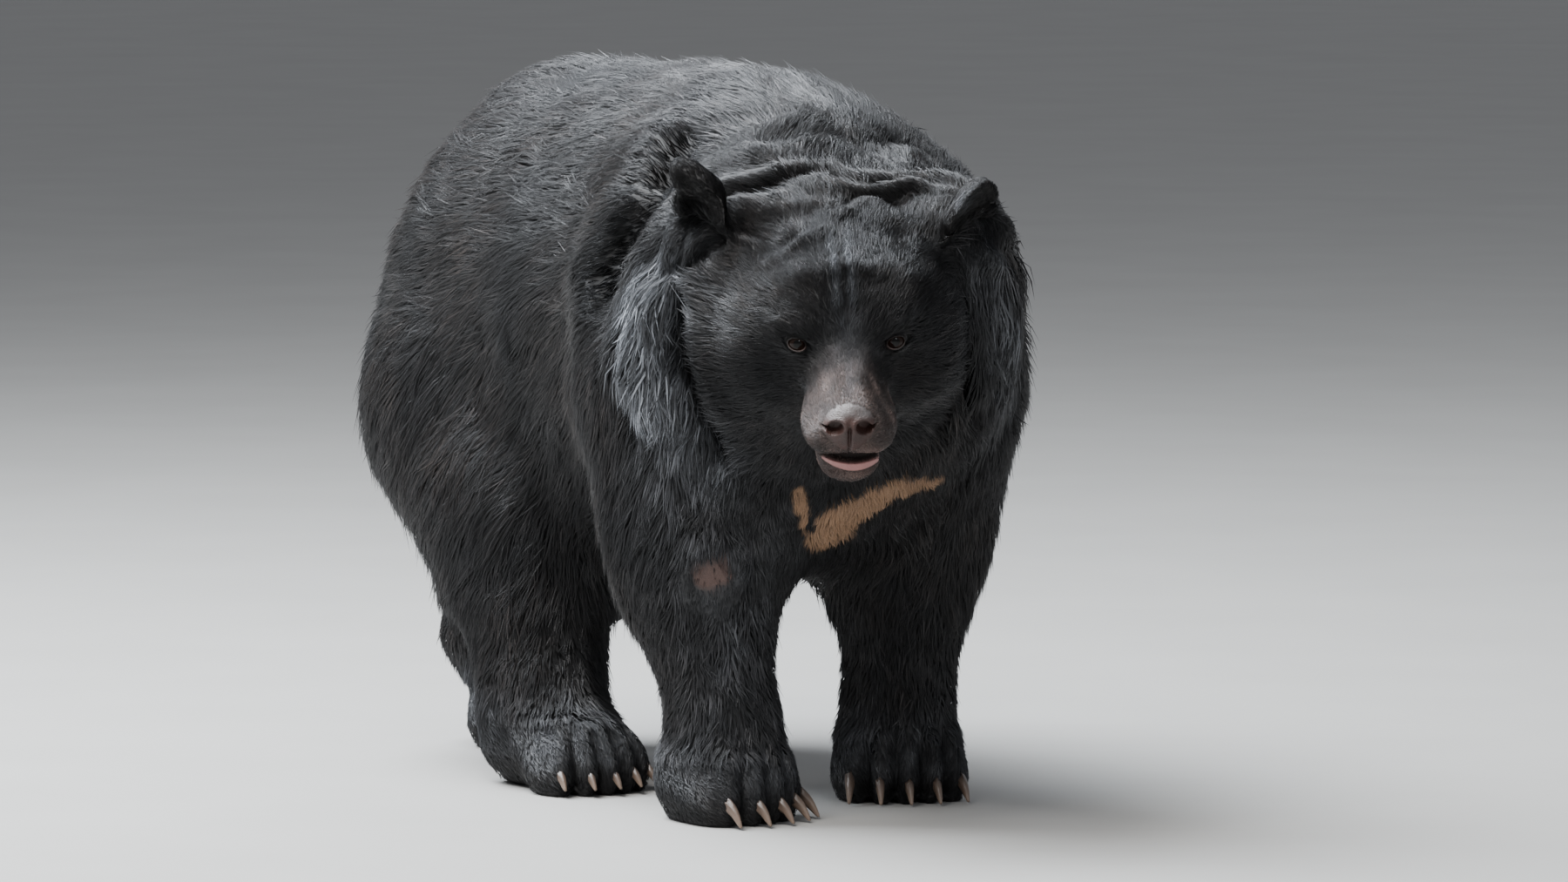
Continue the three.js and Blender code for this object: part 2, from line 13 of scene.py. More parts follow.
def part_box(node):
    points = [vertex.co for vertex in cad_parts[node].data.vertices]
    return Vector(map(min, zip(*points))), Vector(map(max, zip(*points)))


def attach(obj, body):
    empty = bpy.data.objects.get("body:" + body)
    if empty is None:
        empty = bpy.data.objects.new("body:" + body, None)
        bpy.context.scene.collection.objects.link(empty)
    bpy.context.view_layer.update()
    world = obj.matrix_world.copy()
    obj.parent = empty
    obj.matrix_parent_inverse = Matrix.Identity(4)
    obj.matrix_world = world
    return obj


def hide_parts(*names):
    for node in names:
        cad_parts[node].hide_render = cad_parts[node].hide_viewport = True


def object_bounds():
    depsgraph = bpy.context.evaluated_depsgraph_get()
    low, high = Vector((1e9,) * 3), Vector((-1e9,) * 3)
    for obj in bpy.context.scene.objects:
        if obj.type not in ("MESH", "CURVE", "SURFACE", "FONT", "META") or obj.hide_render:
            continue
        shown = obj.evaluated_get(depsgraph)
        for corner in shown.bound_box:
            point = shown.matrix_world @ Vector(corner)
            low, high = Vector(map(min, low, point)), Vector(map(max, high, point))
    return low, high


bl_info = {
    "name": "Asiatic black bear",
    "version": (1, 0, 0),
    "blender": (4, 5, 0),
    "location": "View3D > Sidebar > Bear",
    "description": "Dresses the packed bear with its skin, coat, eyes and claws",
    "category": "Object",
}

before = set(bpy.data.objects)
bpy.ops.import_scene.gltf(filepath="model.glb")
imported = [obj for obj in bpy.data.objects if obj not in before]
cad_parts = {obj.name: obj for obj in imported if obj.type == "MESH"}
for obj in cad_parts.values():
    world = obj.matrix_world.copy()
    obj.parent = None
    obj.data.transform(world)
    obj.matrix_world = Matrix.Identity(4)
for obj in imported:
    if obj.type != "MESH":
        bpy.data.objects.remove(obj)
CAD_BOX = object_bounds()

# ---------------------------------------------------------------- landmarks, from the frame

FEET = ("front_right", "front_left", "hind_right", "hind_left")
SIDES = {"right": -1, "left": 1}
CLAWED = {foot: [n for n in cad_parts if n.startswith("claw_" + foot)] for foot in FEET}
FLESH = [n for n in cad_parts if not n.startswith(("claw_", "eye_"))]


def middle(node):
    low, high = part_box(node)
    return np.array((low + high) / 2)


# The head is turned to the bear's right and held nose down, by the same angles as its solids.
HEAD_YAW = math.radians(-24)
HEAD_PITCH = math.radians(27)
HEAD_ROLL = math.radians(-1)


def head_axes():
    """The head's own left, forward and up, as rows."""
    cx, sx = math.cos(HEAD_PITCH), math.sin(HEAD_PITCH)
    cy, sy = math.cos(HEAD_ROLL), math.sin(HEAD_ROLL)
    cz, sz = math.cos(HEAD_YAW), math.sin(HEAD_YAW)
    about_x = np.array([[1, 0, 0], [0, cx, -sx], [0, sx, cx]])
    about_y = np.array([[cy, 0, sy], [0, 1, 0], [-sy, 0, cy]])
    about_z = np.array([[cz, -sz, 0], [sz, cz, 0], [0, 0, 1]])
    turn = about_z @ about_y @ about_x
    return np.array([turn @ (1, 0, 0), turn @ (0, -1, 0), turn @ (0, 0, 1)])


HEAD = head_axes()
LEFT, FORWARD, UP = HEAD
EYES = {side: middle("eye_" + side) for side in SIDES}
EYE_RADIUS = float((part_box("eye_right")[1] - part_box("eye_right")[0]).z) / 2
BROW = (EYES["right"] + EYES["left"]) / 2  # the head's origin, between the eyes
EYE_SIDE = float((EYES["left"] - EYES["right"]) @ LEFT) / 2


def on_head(p):
    """Places in the head's own terms: left, forward and up from between the eyes."""
    return (np.asarray(p) - BROW) @ HEAD.T


def coordinates(mesh):
    co = np.empty(len(mesh.vertices) * 3)
    mesh.vertices.foreach_get("co", co)
    return co.reshape(-1, 3)


def node_points(node):
    return coordinates(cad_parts[node].data)


NOSE_TIP = float(on_head(node_points("nose"))[:, 1].max())
FLOOR = float(CAD_BOX[0].z)

# The face is a little uneven: its nose and its mouth sit beside the middle line. Heights are by the muzzle's
# slanting front.
NOSE_MIDDLE = -0.003
NOSE_HEIGHT = -0.1016
NOSE_WIDE, NOSE_HIGH = 0.0305, 0.0265
NOSTRIL = -0.1025
NOSTRIL_ASIDE = 0.0172
NOSTRIL_WIDE, NOSTRIL_HIGH, NOSTRIL_DEEP = 0.0092, 0.0074, 0.014
MOUTH_MIDDLE = 0.004
MOUTH_HEIGHT = -0.143
LIP_HEIGHT = -0.1485
LIP_REACH = 0.037
LIP_THICK = 0.0044
EYE_OPEN_WIDE, EYE_OPEN_HIGH = 0.0102, 0.0069  # halves of the opening between the lids
LID_THICK = 0.0018

# How far the face's forms stand out, or in for hollows and grooves.
BROW_RIDGE, BROW_HOLLOW, UNDER_EYE = 0.005, 0.004, 0.004
FOREHEAD_FOLD = 0.0045
BRIDGE_GROOVE = 0.0015
LIP_PADS = 0.003
NOSE_PROUD, NOSTRIL_WING, NOSE_GROOVE = 0.0022, 0.0024, 0.0045
MOUTH_DEEP, LIP_PROUD = 0.011, 0.0025

# The face's round, inside the ruff: its middle and its reach, to the side and up.
FACE_SIDE, FACE_UP = -0.02, -0.055
FACE_WIDE, FACE_HIGH = 0.172, 0.185

# How the ears depart from their solids: shares of their width and height, and how far they turn and move in.
EAR_NARROWS = 0.24
EAR_NARROWS_FROM = {"right": 0.04, "left": -0.006}  # the right ear is drawn in from its inner side
EAR_TALLER = {"right": 0.08, "left": -0.22}
EAR_TURN = math.radians(24)
EAR_IN = {"right": 0.015, "left": 0.0}
EAR_FILLED = 0.75  # of its hollow's depth
EAR_RIM = 0.004

# How far the body's smaller forms stand out or in.
CHEEK_CREASE = 0.022
SHOULDER_DIP, FLANK_ROLL = 0.030, 0.016
CROWN_LUMPS = 0.004
TOE_SWELLS, CLEFT_DEEP = 0.005, 0.017

# ---------------------------------------------------------------- small numeric tools


def unit(v):
    return v / np.maximum(np.linalg.norm(v, axis=-1, keepdims=True), 1e-9)


def flat_to(v, normal):
    """The part of v that lies along a surface with this normal, at length 1."""
    return unit(v - normal * (v * normal).sum(-1, keepdims=True))


def rise(x, low, high):
    """0 below low, 1 above high, and a smooth step between. Low may be the larger one."""
    t = np.clip((x - low) / (high - low), 0, 1)
    return t * t * (3 - 2 * t)


def bump(x, middle_at, reach):
    """A rounded hill, 1 at the middle and about 0 two reaches away."""
    return np.exp(-(((x - middle_at) / reach) ** 2))


def lattice(i, j, k, seed):
    h = (i * 374761393 + j * 668265263 + k * 1274126177 + seed * 69069) & 0xFFFFFFFF
    h = ((h ^ (h >> 13)) * 1103515245) & 0xFFFFFFFF
    return ((h ^ (h >> 16)) & 0xFFFF) / 32767.5 - 1


def noise(p, size, seed=0):
    """Smooth noise from -1 to 1 whose hills are about size across."""
    q = np.asarray(p) / size
    cell = np.floor(q).astype(np.int64)
    f = q - cell
    s = f * f * (3 - 2 * f)
    total = 0
    for a in (0, 1):
        for b in (0, 1):
            for c in (0, 1):
                w = (s[:, 0] if a else 1 - s[:, 0]) * (s[:, 1] if b else 1 - s[:, 1])
                w = w * (s[:, 2] if c else 1 - s[:, 2])
                total = total + w * lattice(cell[:, 0] + a, cell[:, 1] + b, cell[:, 2] + c, seed)
    return total


def noise_slope(p, size, seed=0):
    """Which way the noise climbs."""
    step = size * 0.1
    climbs = [noise(p + step * axis, size, seed) - noise(p - step * axis, size, seed) for axis in np.eye(3)]
    return np.stack(climbs, axis=1)


def from_line(p, points):
    """How far places are from a bent line, how far along it they are, and the way from it to them."""
    best = np.full(len(p), 1e9)
    along = np.zeros(len(p))
    off = np.zeros_like(p)
    for i in range(len(points) - 1):
        a, b = np.array(points[i]), np.array(points[i + 1])
        t = np.clip((p - a) @ (b - a) / ((b - a) @ (b - a)), 0, 1)
        v = p - (a + t[:, None] * (b - a))
        d = np.linalg.norm(v, axis=1)
        along = np.where(d < best, (i + t) / (len(points) - 1), along)
        off = np.where((d < best)[:, None], v, off)
        best = np.minimum(best, d)
    return best, along, off


# ---------------------------------------------------------------- selecting, as by hand


def only(obj):
    bpy.ops.object.select_all(action="DESELECT")
    obj.select_set(True)
    bpy.context.view_layer.objects.active = obj


def apply_modifier(obj, name, kind, **settings):
    only(obj)
    modifier = obj.modifiers.new(name, kind)
    for key, value in settings.items():
        setattr(modifier, key, value)
    bpy.ops.object.modifier_apply(modifier=name)


def select_faces(obj, chosen):
    """Leaves the object in edit mode with only these faces selected."""
    only(obj)
    bpy.ops.object.mode_set(mode="EDIT")
    bpy.ops.mesh.select_mode(type="FACE")
    bpy.ops.mesh.select_all(action="DESELECT")
    bpy.ops.object.mode_set(mode="OBJECT")
    obj.data.polygons.foreach_set("select", np.asarray(chosen, bool))
    bpy.ops.object.mode_set(mode="EDIT")


def triangles(mesh):
    """The vertices of each face of a mesh that has only triangles."""
    tris = np.empty(len(mesh.polygons) * 3, int)
    mesh.polygons.foreach_get("vertices", tris)
    return tris.reshape(-1, 3)


def face_middles(mesh):
    mid = np.empty(len(mesh.polygons) * 3)
    mesh.polygons.foreach_get("center", mid)
    return mid.reshape(-1, 3)


def vertex_normals(mesh):
    n = np.empty(len(mesh.vertices) * 3)
    mesh.vertices.foreach_get("normal", n)
    return n.reshape(-1, 3)


def move_vertices(mesh, co):
    mesh.vertices.foreach_set("co", np.ascontiguousarray(co, float).ravel())
    mesh.update()


def put_attribute(mesh, name, values):
    kinds = {1: ("FLOAT", "value"), 3: ("FLOAT_VECTOR", "vector"), 4: ("FLOAT_COLOR", "color")}
    width = 1 if values.ndim == 1 else values.shape[1]
    kind, field = kinds[width]
    layer = mesh.attributes.get(name) or mesh.attributes.new(name, kind, "POINT")
    layer.data.foreach_set(field, np.ascontiguousarray(values, np.float32).ravel())


def get_attribute(mesh, name, width=1):
    field = {1: "value", 3: "vector", 4: "color"}[width]
    out = np.empty(len(mesh.vertices) * width, np.float32)
    mesh.attributes[name].data.foreach_get(field, out)
    return out.astype(float) if width == 1 else out.reshape(-1, width).astype(float)


def copy_of(nodes, name):
    """One mesh of these solids' copies, with their loose triangles merged."""
    bpy.ops.object.select_all(action="DESELECT")
    for node in nodes:
        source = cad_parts[node]
        twin = bpy.data.objects.new(name, source.data.copy())
        bpy.context.scene.collection.objects.link(twin)
        twin.data.materials.clear()
        twin.select_set(True)
        bpy.context.view_layer.objects.active = twin
    if len(nodes) > 1:
        bpy.ops.object.join()
    made = bpy.context.view_layer.objects.active
    made.name = name
    bpy.ops.object.mode_set(mode="EDIT")
    bpy.ops.mesh.select_all(action="SELECT")
    bpy.ops.mesh.remove_doubles(threshold=1e-5)
    bpy.ops.object.mode_set(mode="OBJECT")
    return made


# ---------------------------------------------------------------- the coat, part by part

# Hair over each part: how deep the coat is, how long and wide its tufts are (mm), how many tufts grow on each
# square metre (thousands), how far they stray from the coat's lie, and how many times its form is evened out.
COAT = {
    "trunk": dict(depth=15, length=50, width=2.1, dense=62, stray=0.13, smooth=46),
    "neck": dict(depth=23, length=68, width=2.6, dense=64, stray=0.16, smooth=30),
    "head": dict(depth=5, length=17, width=1.4, dense=230, stray=0.15, smooth=9),
    "face": dict(depth=2.2, length=7, width=0.9, dense=500, stray=0.2, smooth=3),
    "ear": dict(depth=2.5, length=8, width=1.2, dense=240, stray=0.25, smooth=2),
    "upper_front": dict(depth=13, length=42, width=2.1, dense=70, stray=0.16, smooth=30),
    "upper_hind": dict(depth=17, length=58, width=2.4, dense=58, stray=0.16, smooth=36),
    "lower": dict(depth=9, length=25, width=2.2, dense=85, stray=0.2, smooth=20),
    "paw": dict(depth=3.5, length=11, width=1.5, dense=150, stray=0.2, smooth=5),
    "tail": dict(depth=12, length=55, width=3.2, dense=60, stray=0.2, smooth=10),
}
# Where the coat differs inside a part: on the nape, by the ears, at the cheeks' edge, round the crescent and
# at the bare elbow.
NAPE = dict(depth=10, length=28, width=1.8, dense=120, stray=0.35)
BY_EAR = dict(depth=4, length=14, width=1.6, dense=190, stray=0.2)
CHEEK = dict(depth=15, length=42, width=2.5, dense=120)
CHEST = dict(depth=5, length=15, width=1.8, dense=240, stray=0.08)
ELBOW = dict(depth=3, length=10, width=1.5, dense=90)
PARTS = tuple(COAT)
SIZES = ("depth", "length", "width", "dense", "stray", "painted_shade")


def part_of(node):
    if node in ("muzzle", "jaw", "nose"):
        return "face"
    for part in sorted(PARTS, key=len, reverse=True):
        if node.startswith(part):
            return part
    raise ValueError(node + " is no part of the coat")


def nearest_part(co):
    """For each place, the index in PARTS of the solid nearest to it."""
    corners, faces, owner = [], [], []
    start = 0
    for node in FLESH:
        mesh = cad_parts[node].data
        mesh.calc_loop_triangles()
        tris = np.empty(len(mesh.loop_triangles) * 3, int)
        mesh.loop_triangles.foreach_get("vertices", tris)
        corners.append(coordinates(mesh))
        faces.append(tris.reshape(-1, 3) + start)
        owner += [PARTS.index(part_of(node))] * len(mesh.loop_triangles)
        start += len(mesh.vertices)
    tree = BVHTree.FromPolygons(np.concatenate(corners).tolist(), np.concatenate(faces).tolist())
    owner = np.array(owner)
    return owner[[tree.find_nearest(p)[2] for p in co.tolist()]]


def neighbours(mesh):
    edges = np.empty(len(mesh.edges) * 2, int)
    mesh.edges.foreach_get("vertices", edges)
    edges = edges.reshape(-1, 2)
    return edges, np.bincount(edges.ravel(), minlength=len(mesh.vertices)).astype(float)


def spread(values, edges, count, rounds):
    """Evens out values that sit on the vertices."""
    flat = values.reshape(len(count), -1).copy()
    a, b = edges.T
    for _ in range(rounds):
        for c in range(flat.shape[1]):
            v = flat[:, c]
            total = np.bincount(a, v[b], len(count)) + np.bincount(b, v[a], len(count))
            flat[:, c] = (v + total / count) / 2
    return flat.reshape(values.shape)


def ear_ends(side_name, top_from):
    """The middles of an ear's root and of its top, above this share of it, in the head's own terms."""
    ear = on_head(node_points("ear_" + side_name))
    low, high = np.quantile(ear[:, 2], (0.15, top_from))
    return ear[ear[:, 2] < low].mean(0), ear[ear[:, 2] > high].mean(0)


def ear_way(side_name):
    """From an ear's root to its tip."""
    root, top = ear_ends(side_name, 0.85)
    return unit((top - root) @ HEAD)


def foot_way(foot):
    """The way that a foot points on the floor, from its middle to its claws."""
    way = np.mean([middle(c) for c in CLAWED[foot]], axis=0) - middle("paw_" + foot)
    way[2] = 0
    return unit(way)


def by_nape(co):
    return rise(co[:, 2], 0.64, 0.72) * rise(co[:, 1], -0.1, -0.18)


def nape_share(co, normals):
    """1 on top of the neck, where the hair is short and woolly over loose folds."""
    return by_nape(co) * rise(normals[:, 2], 0.1, 0.4)


def lie_of_coat(co, normals, part):
    """The way that the hair lies at each place, before it is laid along the skin."""
    down = np.array([0.0, 0.0, -1.0])
    back = np.array([0.0, 1.0, 0.0])
    steep = 1 - np.abs(normals[:, 2:3])
    way = np.tile(back, (len(co), 1))
    low = rise(co[:, 2:3], 0.72, 0.42)
    lies = {
        "trunk": back + down * (0.3 + 0.9 * low) * (0.3 + steep),
        "upper_front": back * 0.25 + down,
        "upper_hind": back * 0.5 + down,
        "lower": back * 0.12 + down,
        "tail": back * 0.5 + down,
    }
    for name, lie in lies.items():
        here = part == PARTS.index(name)
        way[here] = lie[here] if lie.ndim > 1 else lie
    head = on_head(co)
    side, ahead, up = head.T
    # the ruff hangs down the neck's sides, and the nape's hair runs back from the head
    here = part == PARTS.index("neck")
    hang = rise(steep[:, 0], 0.1, 0.6)[:, None]
    way[here] = ((-FORWARD * 0.9 + back * 0.5) * (1.15 - hang) + (down + back * 0.25) * hang)[here]
    # the nape's short wool is tousled
    aside = noise(co, 0.07, 25)[:, None] * 1.1 * LEFT + back * 0.7 + down * 0.2
    nape = (nape_share(co, normals) * here)[:, None]
    way = way * (1 - nape) + aside * 1.3 * nape
    # on the head the hair runs out from the muzzle all round, towards the ruff
    out = (side[:, None] * 1.7 * LEFT + (up[:, None] - FACE_UP) * UP) * rise(ahead, 0.09, 0.0)[:, None]
    here = part == PARTS.index("head")
    way[here] = (unit(out) * 0.75 - FORWARD * 0.62)[here]
    here = part == PARTS.index("face")
    rising, falling = rise(up, -0.06, 0.0)[:, None], rise(up, -0.05, -0.1)[:, None]
    way[here] = (-FORWARD + UP * rising * 0.1 + down * 0.35 * falling)[here]
    here = part == PARTS.index("ear")
    for name, s in SIDES.items():
        this = here & (side * s > 0)
        way[this] = ear_way(name) + UP * 0.2
    here = part == PARTS.index("paw")
    feet = np.array([middle("paw_" + foot)[:2] for foot in FEET])
    nearest = np.argmin(((co[:, None, :2] - feet) ** 2).sum(-1), axis=1)
    ways = np.array([foot_way(foot) for foot in FEET])[nearest]
    way[here] = (ways + down * 0.7)[here]
    return flat_to(unit(way), normals)


# ---------------------------------------------------------------- markings and a painted sheen, shared by skin and coat

# The chest's crescent: the middle line of each arm, from its outer end to the breastbone, and the dark line
# between them.
CRESCENT_LEFT = (
    (0.079, -0.415, 0.408), (0.023, -0.43, 0.406), (-0.007, -0.42, 0.391), (-0.037, -0.4, 0.369),
    (-0.042, -0.384, 0.353),
)
CRESCENT_RIGHT = ((-0.106, -0.418, 0.406), (-0.092, -0.401, 0.384), (-0.081, -0.389, 0.362))
CRESCENT_GAP = ((-0.086, -0.41, 0.40), (-0.079, -0.398, 0.38), (-0.072, -0.385, 0.355))
CRESCENT_EDGE = 0.005  # half of the edge's blur
CRESCENT_SPREADS = 0.024  # how much wider the left arm is at the breastbone
ELBOW_PATCH = (-0.19, -0.361, 0.301)
# Places where the coat is painted in shade: their middle, their reach and how dark they are.
PAINTED_SHADE_SPOTS = (
    ((-0.242, -0.443, 0.745), 0.034, 0.9),
    ((0.062, -0.575, 0.725), 0.028, 0.8),
    (tuple(EYES["right"]), 0.022, 0.1),
    (tuple(EYES["left"]), 0.022, 0.3),
)
# A painted sheen down a lock of the right ruff.
RUFF_SHEEN = (
    (-0.274, -0.409, 0.69), (-0.285, -0.361, 0.625), (-0.285, -0.337, 0.587), (-0.263, -0.343, 0.497),
    (-0.212, -0.371, 0.429),
)
RUFF_SHEEN_REACH = 0.048
# Fainter painted sheen down the left ruff, the right shoulder and the right foreleg: its line, its reach and
# how strong it is.
PAINTED_SHEEN_LINES = (
    (((0.07, -0.59, 0.69), (0.121, -0.536, 0.581), (0.169, -0.424, 0.487)), 0.035, 0.3),
    (((-0.263, -0.343, 0.497), (-0.25, -0.34, 0.42)), 0.06, 0.22),
    (((-0.18, -0.37, 0.3), (-0.16, -0.37, 0.16)), 0.075, 0.16),
)
EAR_FLUFF = (0.02, -0.612, 0.77)  # a pale tuft at the left ear's inner edge
STREAKS = (-0.013, 0.005)  # how far aside the brow's two pale streaks are
# How far each kind of paler hair and of painted sheen goes towards grey.
GREYS = dict(streaks=0.5, bridge=0.2, middle_line=0.2, sheen=1.0, back=0.04, paler_low_band=0.18, fluff=0.4)


def from_point(p, place):
    return np.linalg.norm(p - np.array(place), axis=1)


def crescent_on(p, ragged):
    """Both arms of the crescent, parted by a dark line."""
    arm, along, _ = from_line(p, CRESCENT_LEFT)
    wide = 0.012 + CRESCENT_SPREADS * along
    left = rise(arm + ragged, wide + CRESCENT_EDGE, wide - CRESCENT_EDGE)
    arm, _, _ = from_line(p, CRESCENT_RIGHT)
    right = rise(arm + ragged * 0.6, 0.0115, 0.0045)
    gap, _, _ = from_line(p, CRESCENT_GAP)
    return np.maximum(left, right) * rise(gap + ragged, 0.002, 0.006)


def bare_on(p, head, ragged):
    """The worn elbow, and the thin hair round the mouth."""
    elbow = np.linalg.norm((p - np.array(ELBOW_PATCH)) / (1, 1, 0.65), axis=1)
    mouth = np.hypot((head[:, 0] - MOUTH_MIDDLE) / 0.046, (slant(head) - MOUTH_HEIGHT) / 0.024)
    mouth = rise(mouth + noise(p, 0.008, 18) * 0.1, 1.15, 0.8) * rise(head[:, 1], 0.04, 0.07)
    return np.maximum(rise(elbow + ragged * 1.5, 0.03, 0.02), 0.75 * mouth)


def grey_and_sheen_on(p, head):
    """Paler hair over the brow, down the muzzle and by an ear, paler low on the legs and paws, and a painted
    sheen down the ruffs, the right shoulder and foreleg and along the back.
    """
    side, ahead, up = head.T
    wavy = side + 0.004 * noise(p, 0.03, 16)
    streaks = np.maximum(bump(wavy, STREAKS[0], 0.005), bump(wavy, STREAKS[1], 0.005))
    streaks = streaks * (0.7 + 0.3 * noise(p, 0.01, 17))
    streaks = streaks * rise(up, 0.045, 0.065) * rise(up, 0.105, 0.09) * rise(ahead, -0.13, -0.1)
    bridge = bump(side, 0, 0.02) * rise(ahead, 0.0, 0.02) * rise(ahead, 0.075, 0.045)
    middle_line = bump(side, 0, 0.006) * rise(ahead, 0.02, 0.04) * rise(ahead, 0.11, 0.09)
    middle_line = middle_line * rise(up, -0.04, -0.02)
    # a painted sheen down the right ruff's lock, and fainter painted sheen on the left ruff, the right
    # shoulder and the right foreleg
    far, along, _ = from_line(p, RUFF_SHEEN)
    fade = (0.25 + 0.75 * rise(along, 0.0, 0.25)) * (1 - 0.6 * rise(along, 0.6, 1.0))
    sheen = fade * bump(far, 0, RUFF_SHEEN_REACH) * (0.75 + 0.25 * noise(p, 0.03, 13))
    for line, reach, much in PAINTED_SHEEN_LINES:
        far, _, _ = from_line(p, line)
        sheen = np.maximum(sheen, much * bump(far, 0, reach) * (0.7 + 0.3 * noise(p, 0.03, 13)))
    fluff = bump(from_point(p, EAR_FLUFF), 0, 0.014)
    # a faint painted sheen along the top of the back
    back = rise(p[:, 2], 0.80, 0.9) * (0.5 + 0.5 * noise(p, 0.07, 15))
    # paler in a band low on the legs and paws
    paler_low_band = rise(p[:, 2], 0.02, 0.05) * rise(p[:, 2], 0.13, 0.07) * (0.6 + 0.4 * noise(p, 0.03, 19))
    found = dict(streaks=streaks, bridge=bridge, middle_line=middle_line, sheen=sheen, back=back, paler_low_band=paler_low_band,
                 fluff=fluff)
    return np.max([GREYS[name] * much for name, much in found.items()], axis=0)


def markings(p, head=None):
    """What the skin and the coat show at each place, each from 0 to 1."""
    head = on_head(p) if head is None else head
    side, ahead, up = head.T
    ragged = noise(p, 0.018, 3) * 0.006 + noise(p, 0.006, 4) * 0.003
    tip = rise(ahead, NOSE_TIP - 0.042, NOSE_TIP - 0.036)
    return dict(
        crescent=crescent_on(p, ragged),
        pad=rise(nose_pad(head), 1.04, 0.96) * tip,
        rim=tip * rise(slant(head), -0.094, -0.084) * (0.75 + 0.25 * noise(p, 0.004, 14)),
        muzzle=rise(ahead, 0.02, 0.07) * rise(np.abs(side), 0.075, 0.05) * rise(up, -0.15, -0.12),
        bare=bare_on(p, head, ragged),
        grey_and_sheen=grey_and_sheen_on(p, head),
    )


def put_marks(mesh, marks, repeat=1):
    """Writes the coat's markings and painted sheen on a mesh, each value on so many vertices in a row."""
    values = np.stack([marks[name] for name in ("crescent", "muzzle", "bare", "grey_and_sheen")], 1)
    put_attribute(mesh, "marks", np.repeat(values, repeat, axis=0))


# ---------------------------------------------------------------- the skin


def rough_skin(settings):
    """All the flesh as one closed surface of even faces, with the solids' facets smoothed away."""
    skin = copy_of(FLESH, "skin")
    apply_modifier(skin, "Close the cuts", "DISPLACE", strength=0.0012, mid_level=0)
    apply_modifier(skin, "One surface", "REMESH", mode="VOXEL", voxel_size=settings.grain)
    part = nearest_part(coordinates(skin.data))
    head = on_head(coordinates(skin.data))
    ruff = (part == PARTS.index("head")) & (face_ring(head) > 1.03) & (head[:, 2] < 0.09)
    part[ruff] = PARTS.index("neck")
    edges, count = neighbours(skin.data)
    rounds = np.array([COAT[name]["smooth"] for name in PARTS], float)[part]
    rounds = spread(rounds, edges, count, 12)
    top = rounds.max()
    group = skin.vertex_groups.new(name="even")
    for level in range(1, 9):
        chosen = np.nonzero((rounds / top * 8).round() == level)[0]
        group.add(chosen.tolist(), level / 8, "REPLACE")
    apply_modifier(skin, "Even the form", "SMOOTH", factor=0.5, iterations=int(top), vertex_group="even")
    return skin, part, edges, count


def share_of(name, part, edges, count):
    """1 on the vertices of a part and 0 off it, with a soft edge."""
    return spread((part == PARTS.index(name)).astype(float), edges, count, 2)


def note_coat(skin, part, edges, count):
    """Writes the coat's sizes and lie on the skin's vertices, blended where two parts meet."""
    mesh = skin.data
    co, normals = coordinates(mesh), vertex_normals(mesh)
    for key in SIZES[:-1]:
        sizes = np.array([COAT[name][key] for name in PARTS], float)[part]
        put_attribute(mesh, key, spread(sizes, edges, count, 10 if key == "depth" else 6))
    nape = spread(nape_share(co, normals) * (part == PARTS.index("neck")), edges, count, 4)
    ring = face_ring(on_head(co))
    cheek = rise(ring, 0.5, 1.0) * share_of("head", part, edges, count) * rise(on_head(co)[:, 2], 0.07, 0.01)
    chest = bump(np.minimum(from_line(co, CRESCENT_LEFT)[0], from_line(co, CRESCENT_RIGHT)[0]), 0, 0.08)
    elbow = rise(from_point(co, ELBOW_PATCH), 0.065, 0.04)
    ear = np.min([from_point(co, middle("ear_" + name) - UP * 0.02) for name in SIDES], axis=0)
    by_ear = rise(ear, 0.085, 0.045) * (part != PARTS.index("ear"))
    for share, sizes in ((nape, NAPE), (cheek, CHEEK), (chest, CHEST), (elbow, ELBOW), (by_ear, BY_EAR)):
        for key, value in sizes.items():
            now = get_attribute(mesh, key)
            put_attribute(mesh, key, now + (value - now) * share)
    crown = rise(on_head(co)[:, 2], 0.065, 0.09) * (part == PARTS.index("head"))
    put_attribute(mesh, "stray", get_attribute(mesh, "stray") + 0.06 * crown)
    lie = spread(lie_of_coat(co, normals, part), edges, count, 14)
    put_attribute(mesh, "lie", unit(lie))
    for name in PARTS:
        put_attribute(mesh, "is_" + name, share_of(name, part, edges, count))


def refine(skin, settings):
    """Larger faces under the long coat, and smaller ones where the face and feet need them."""
    mesh = skin.data
    mid = face_middles(mesh)
    head = on_head(mid)
    is_head = (np.abs(head[:, 0]) < 0.26) & (head[:, 1] > -0.24) & (head[:, 2] > -0.2)
    is_foot = mid[:, 2] < 0.1
    select_faces(skin, ~(is_head | is_foot))
    bpy.ops.mesh.decimate(ratio=settings.body_share)
    bpy.ops.object.mode_set(mode="OBJECT")
    # first the face, then the muzzle and round the eyes, then the nose, the mouth and the lids
    zones = (
        lambda wide, ahead, up: (ahead > -0.09) & (wide < 0.15) & (up > -0.16) & (up < 0.1),
        lambda wide, ahead, up: (ahead > 0.05) & (wide < 0.07) & (up > -0.16)
        | (np.hypot(wide - EYE_SIDE, up) < 0.026) & (ahead > -0.02),
        lambda wide, ahead, up: (ahead > 0.09) & (wide < 0.045) & (np.abs(up + 0.07) < 0.06)
        | (np.hypot(wide - EYE_SIDE, up) < 0.018) & (ahead > -0.015),
    )
    for zone in zones:
        side, ahead, up = on_head(face_middles(mesh)).T
        select_faces(skin, zone(np.abs(side), ahead, up))
        bpy.ops.mesh.subdivide(number_cuts=1)
        bpy.ops.mesh.vertices_smooth(factor=0.5, repeat=3)
        bpy.ops.object.mode_set(mode="OBJECT")
    select_faces(skin, np.ones(len(mesh.polygons), bool))
    bpy.ops.mesh.quads_convert_to_tris()
    bpy.ops.object.mode_set(mode="OBJECT")


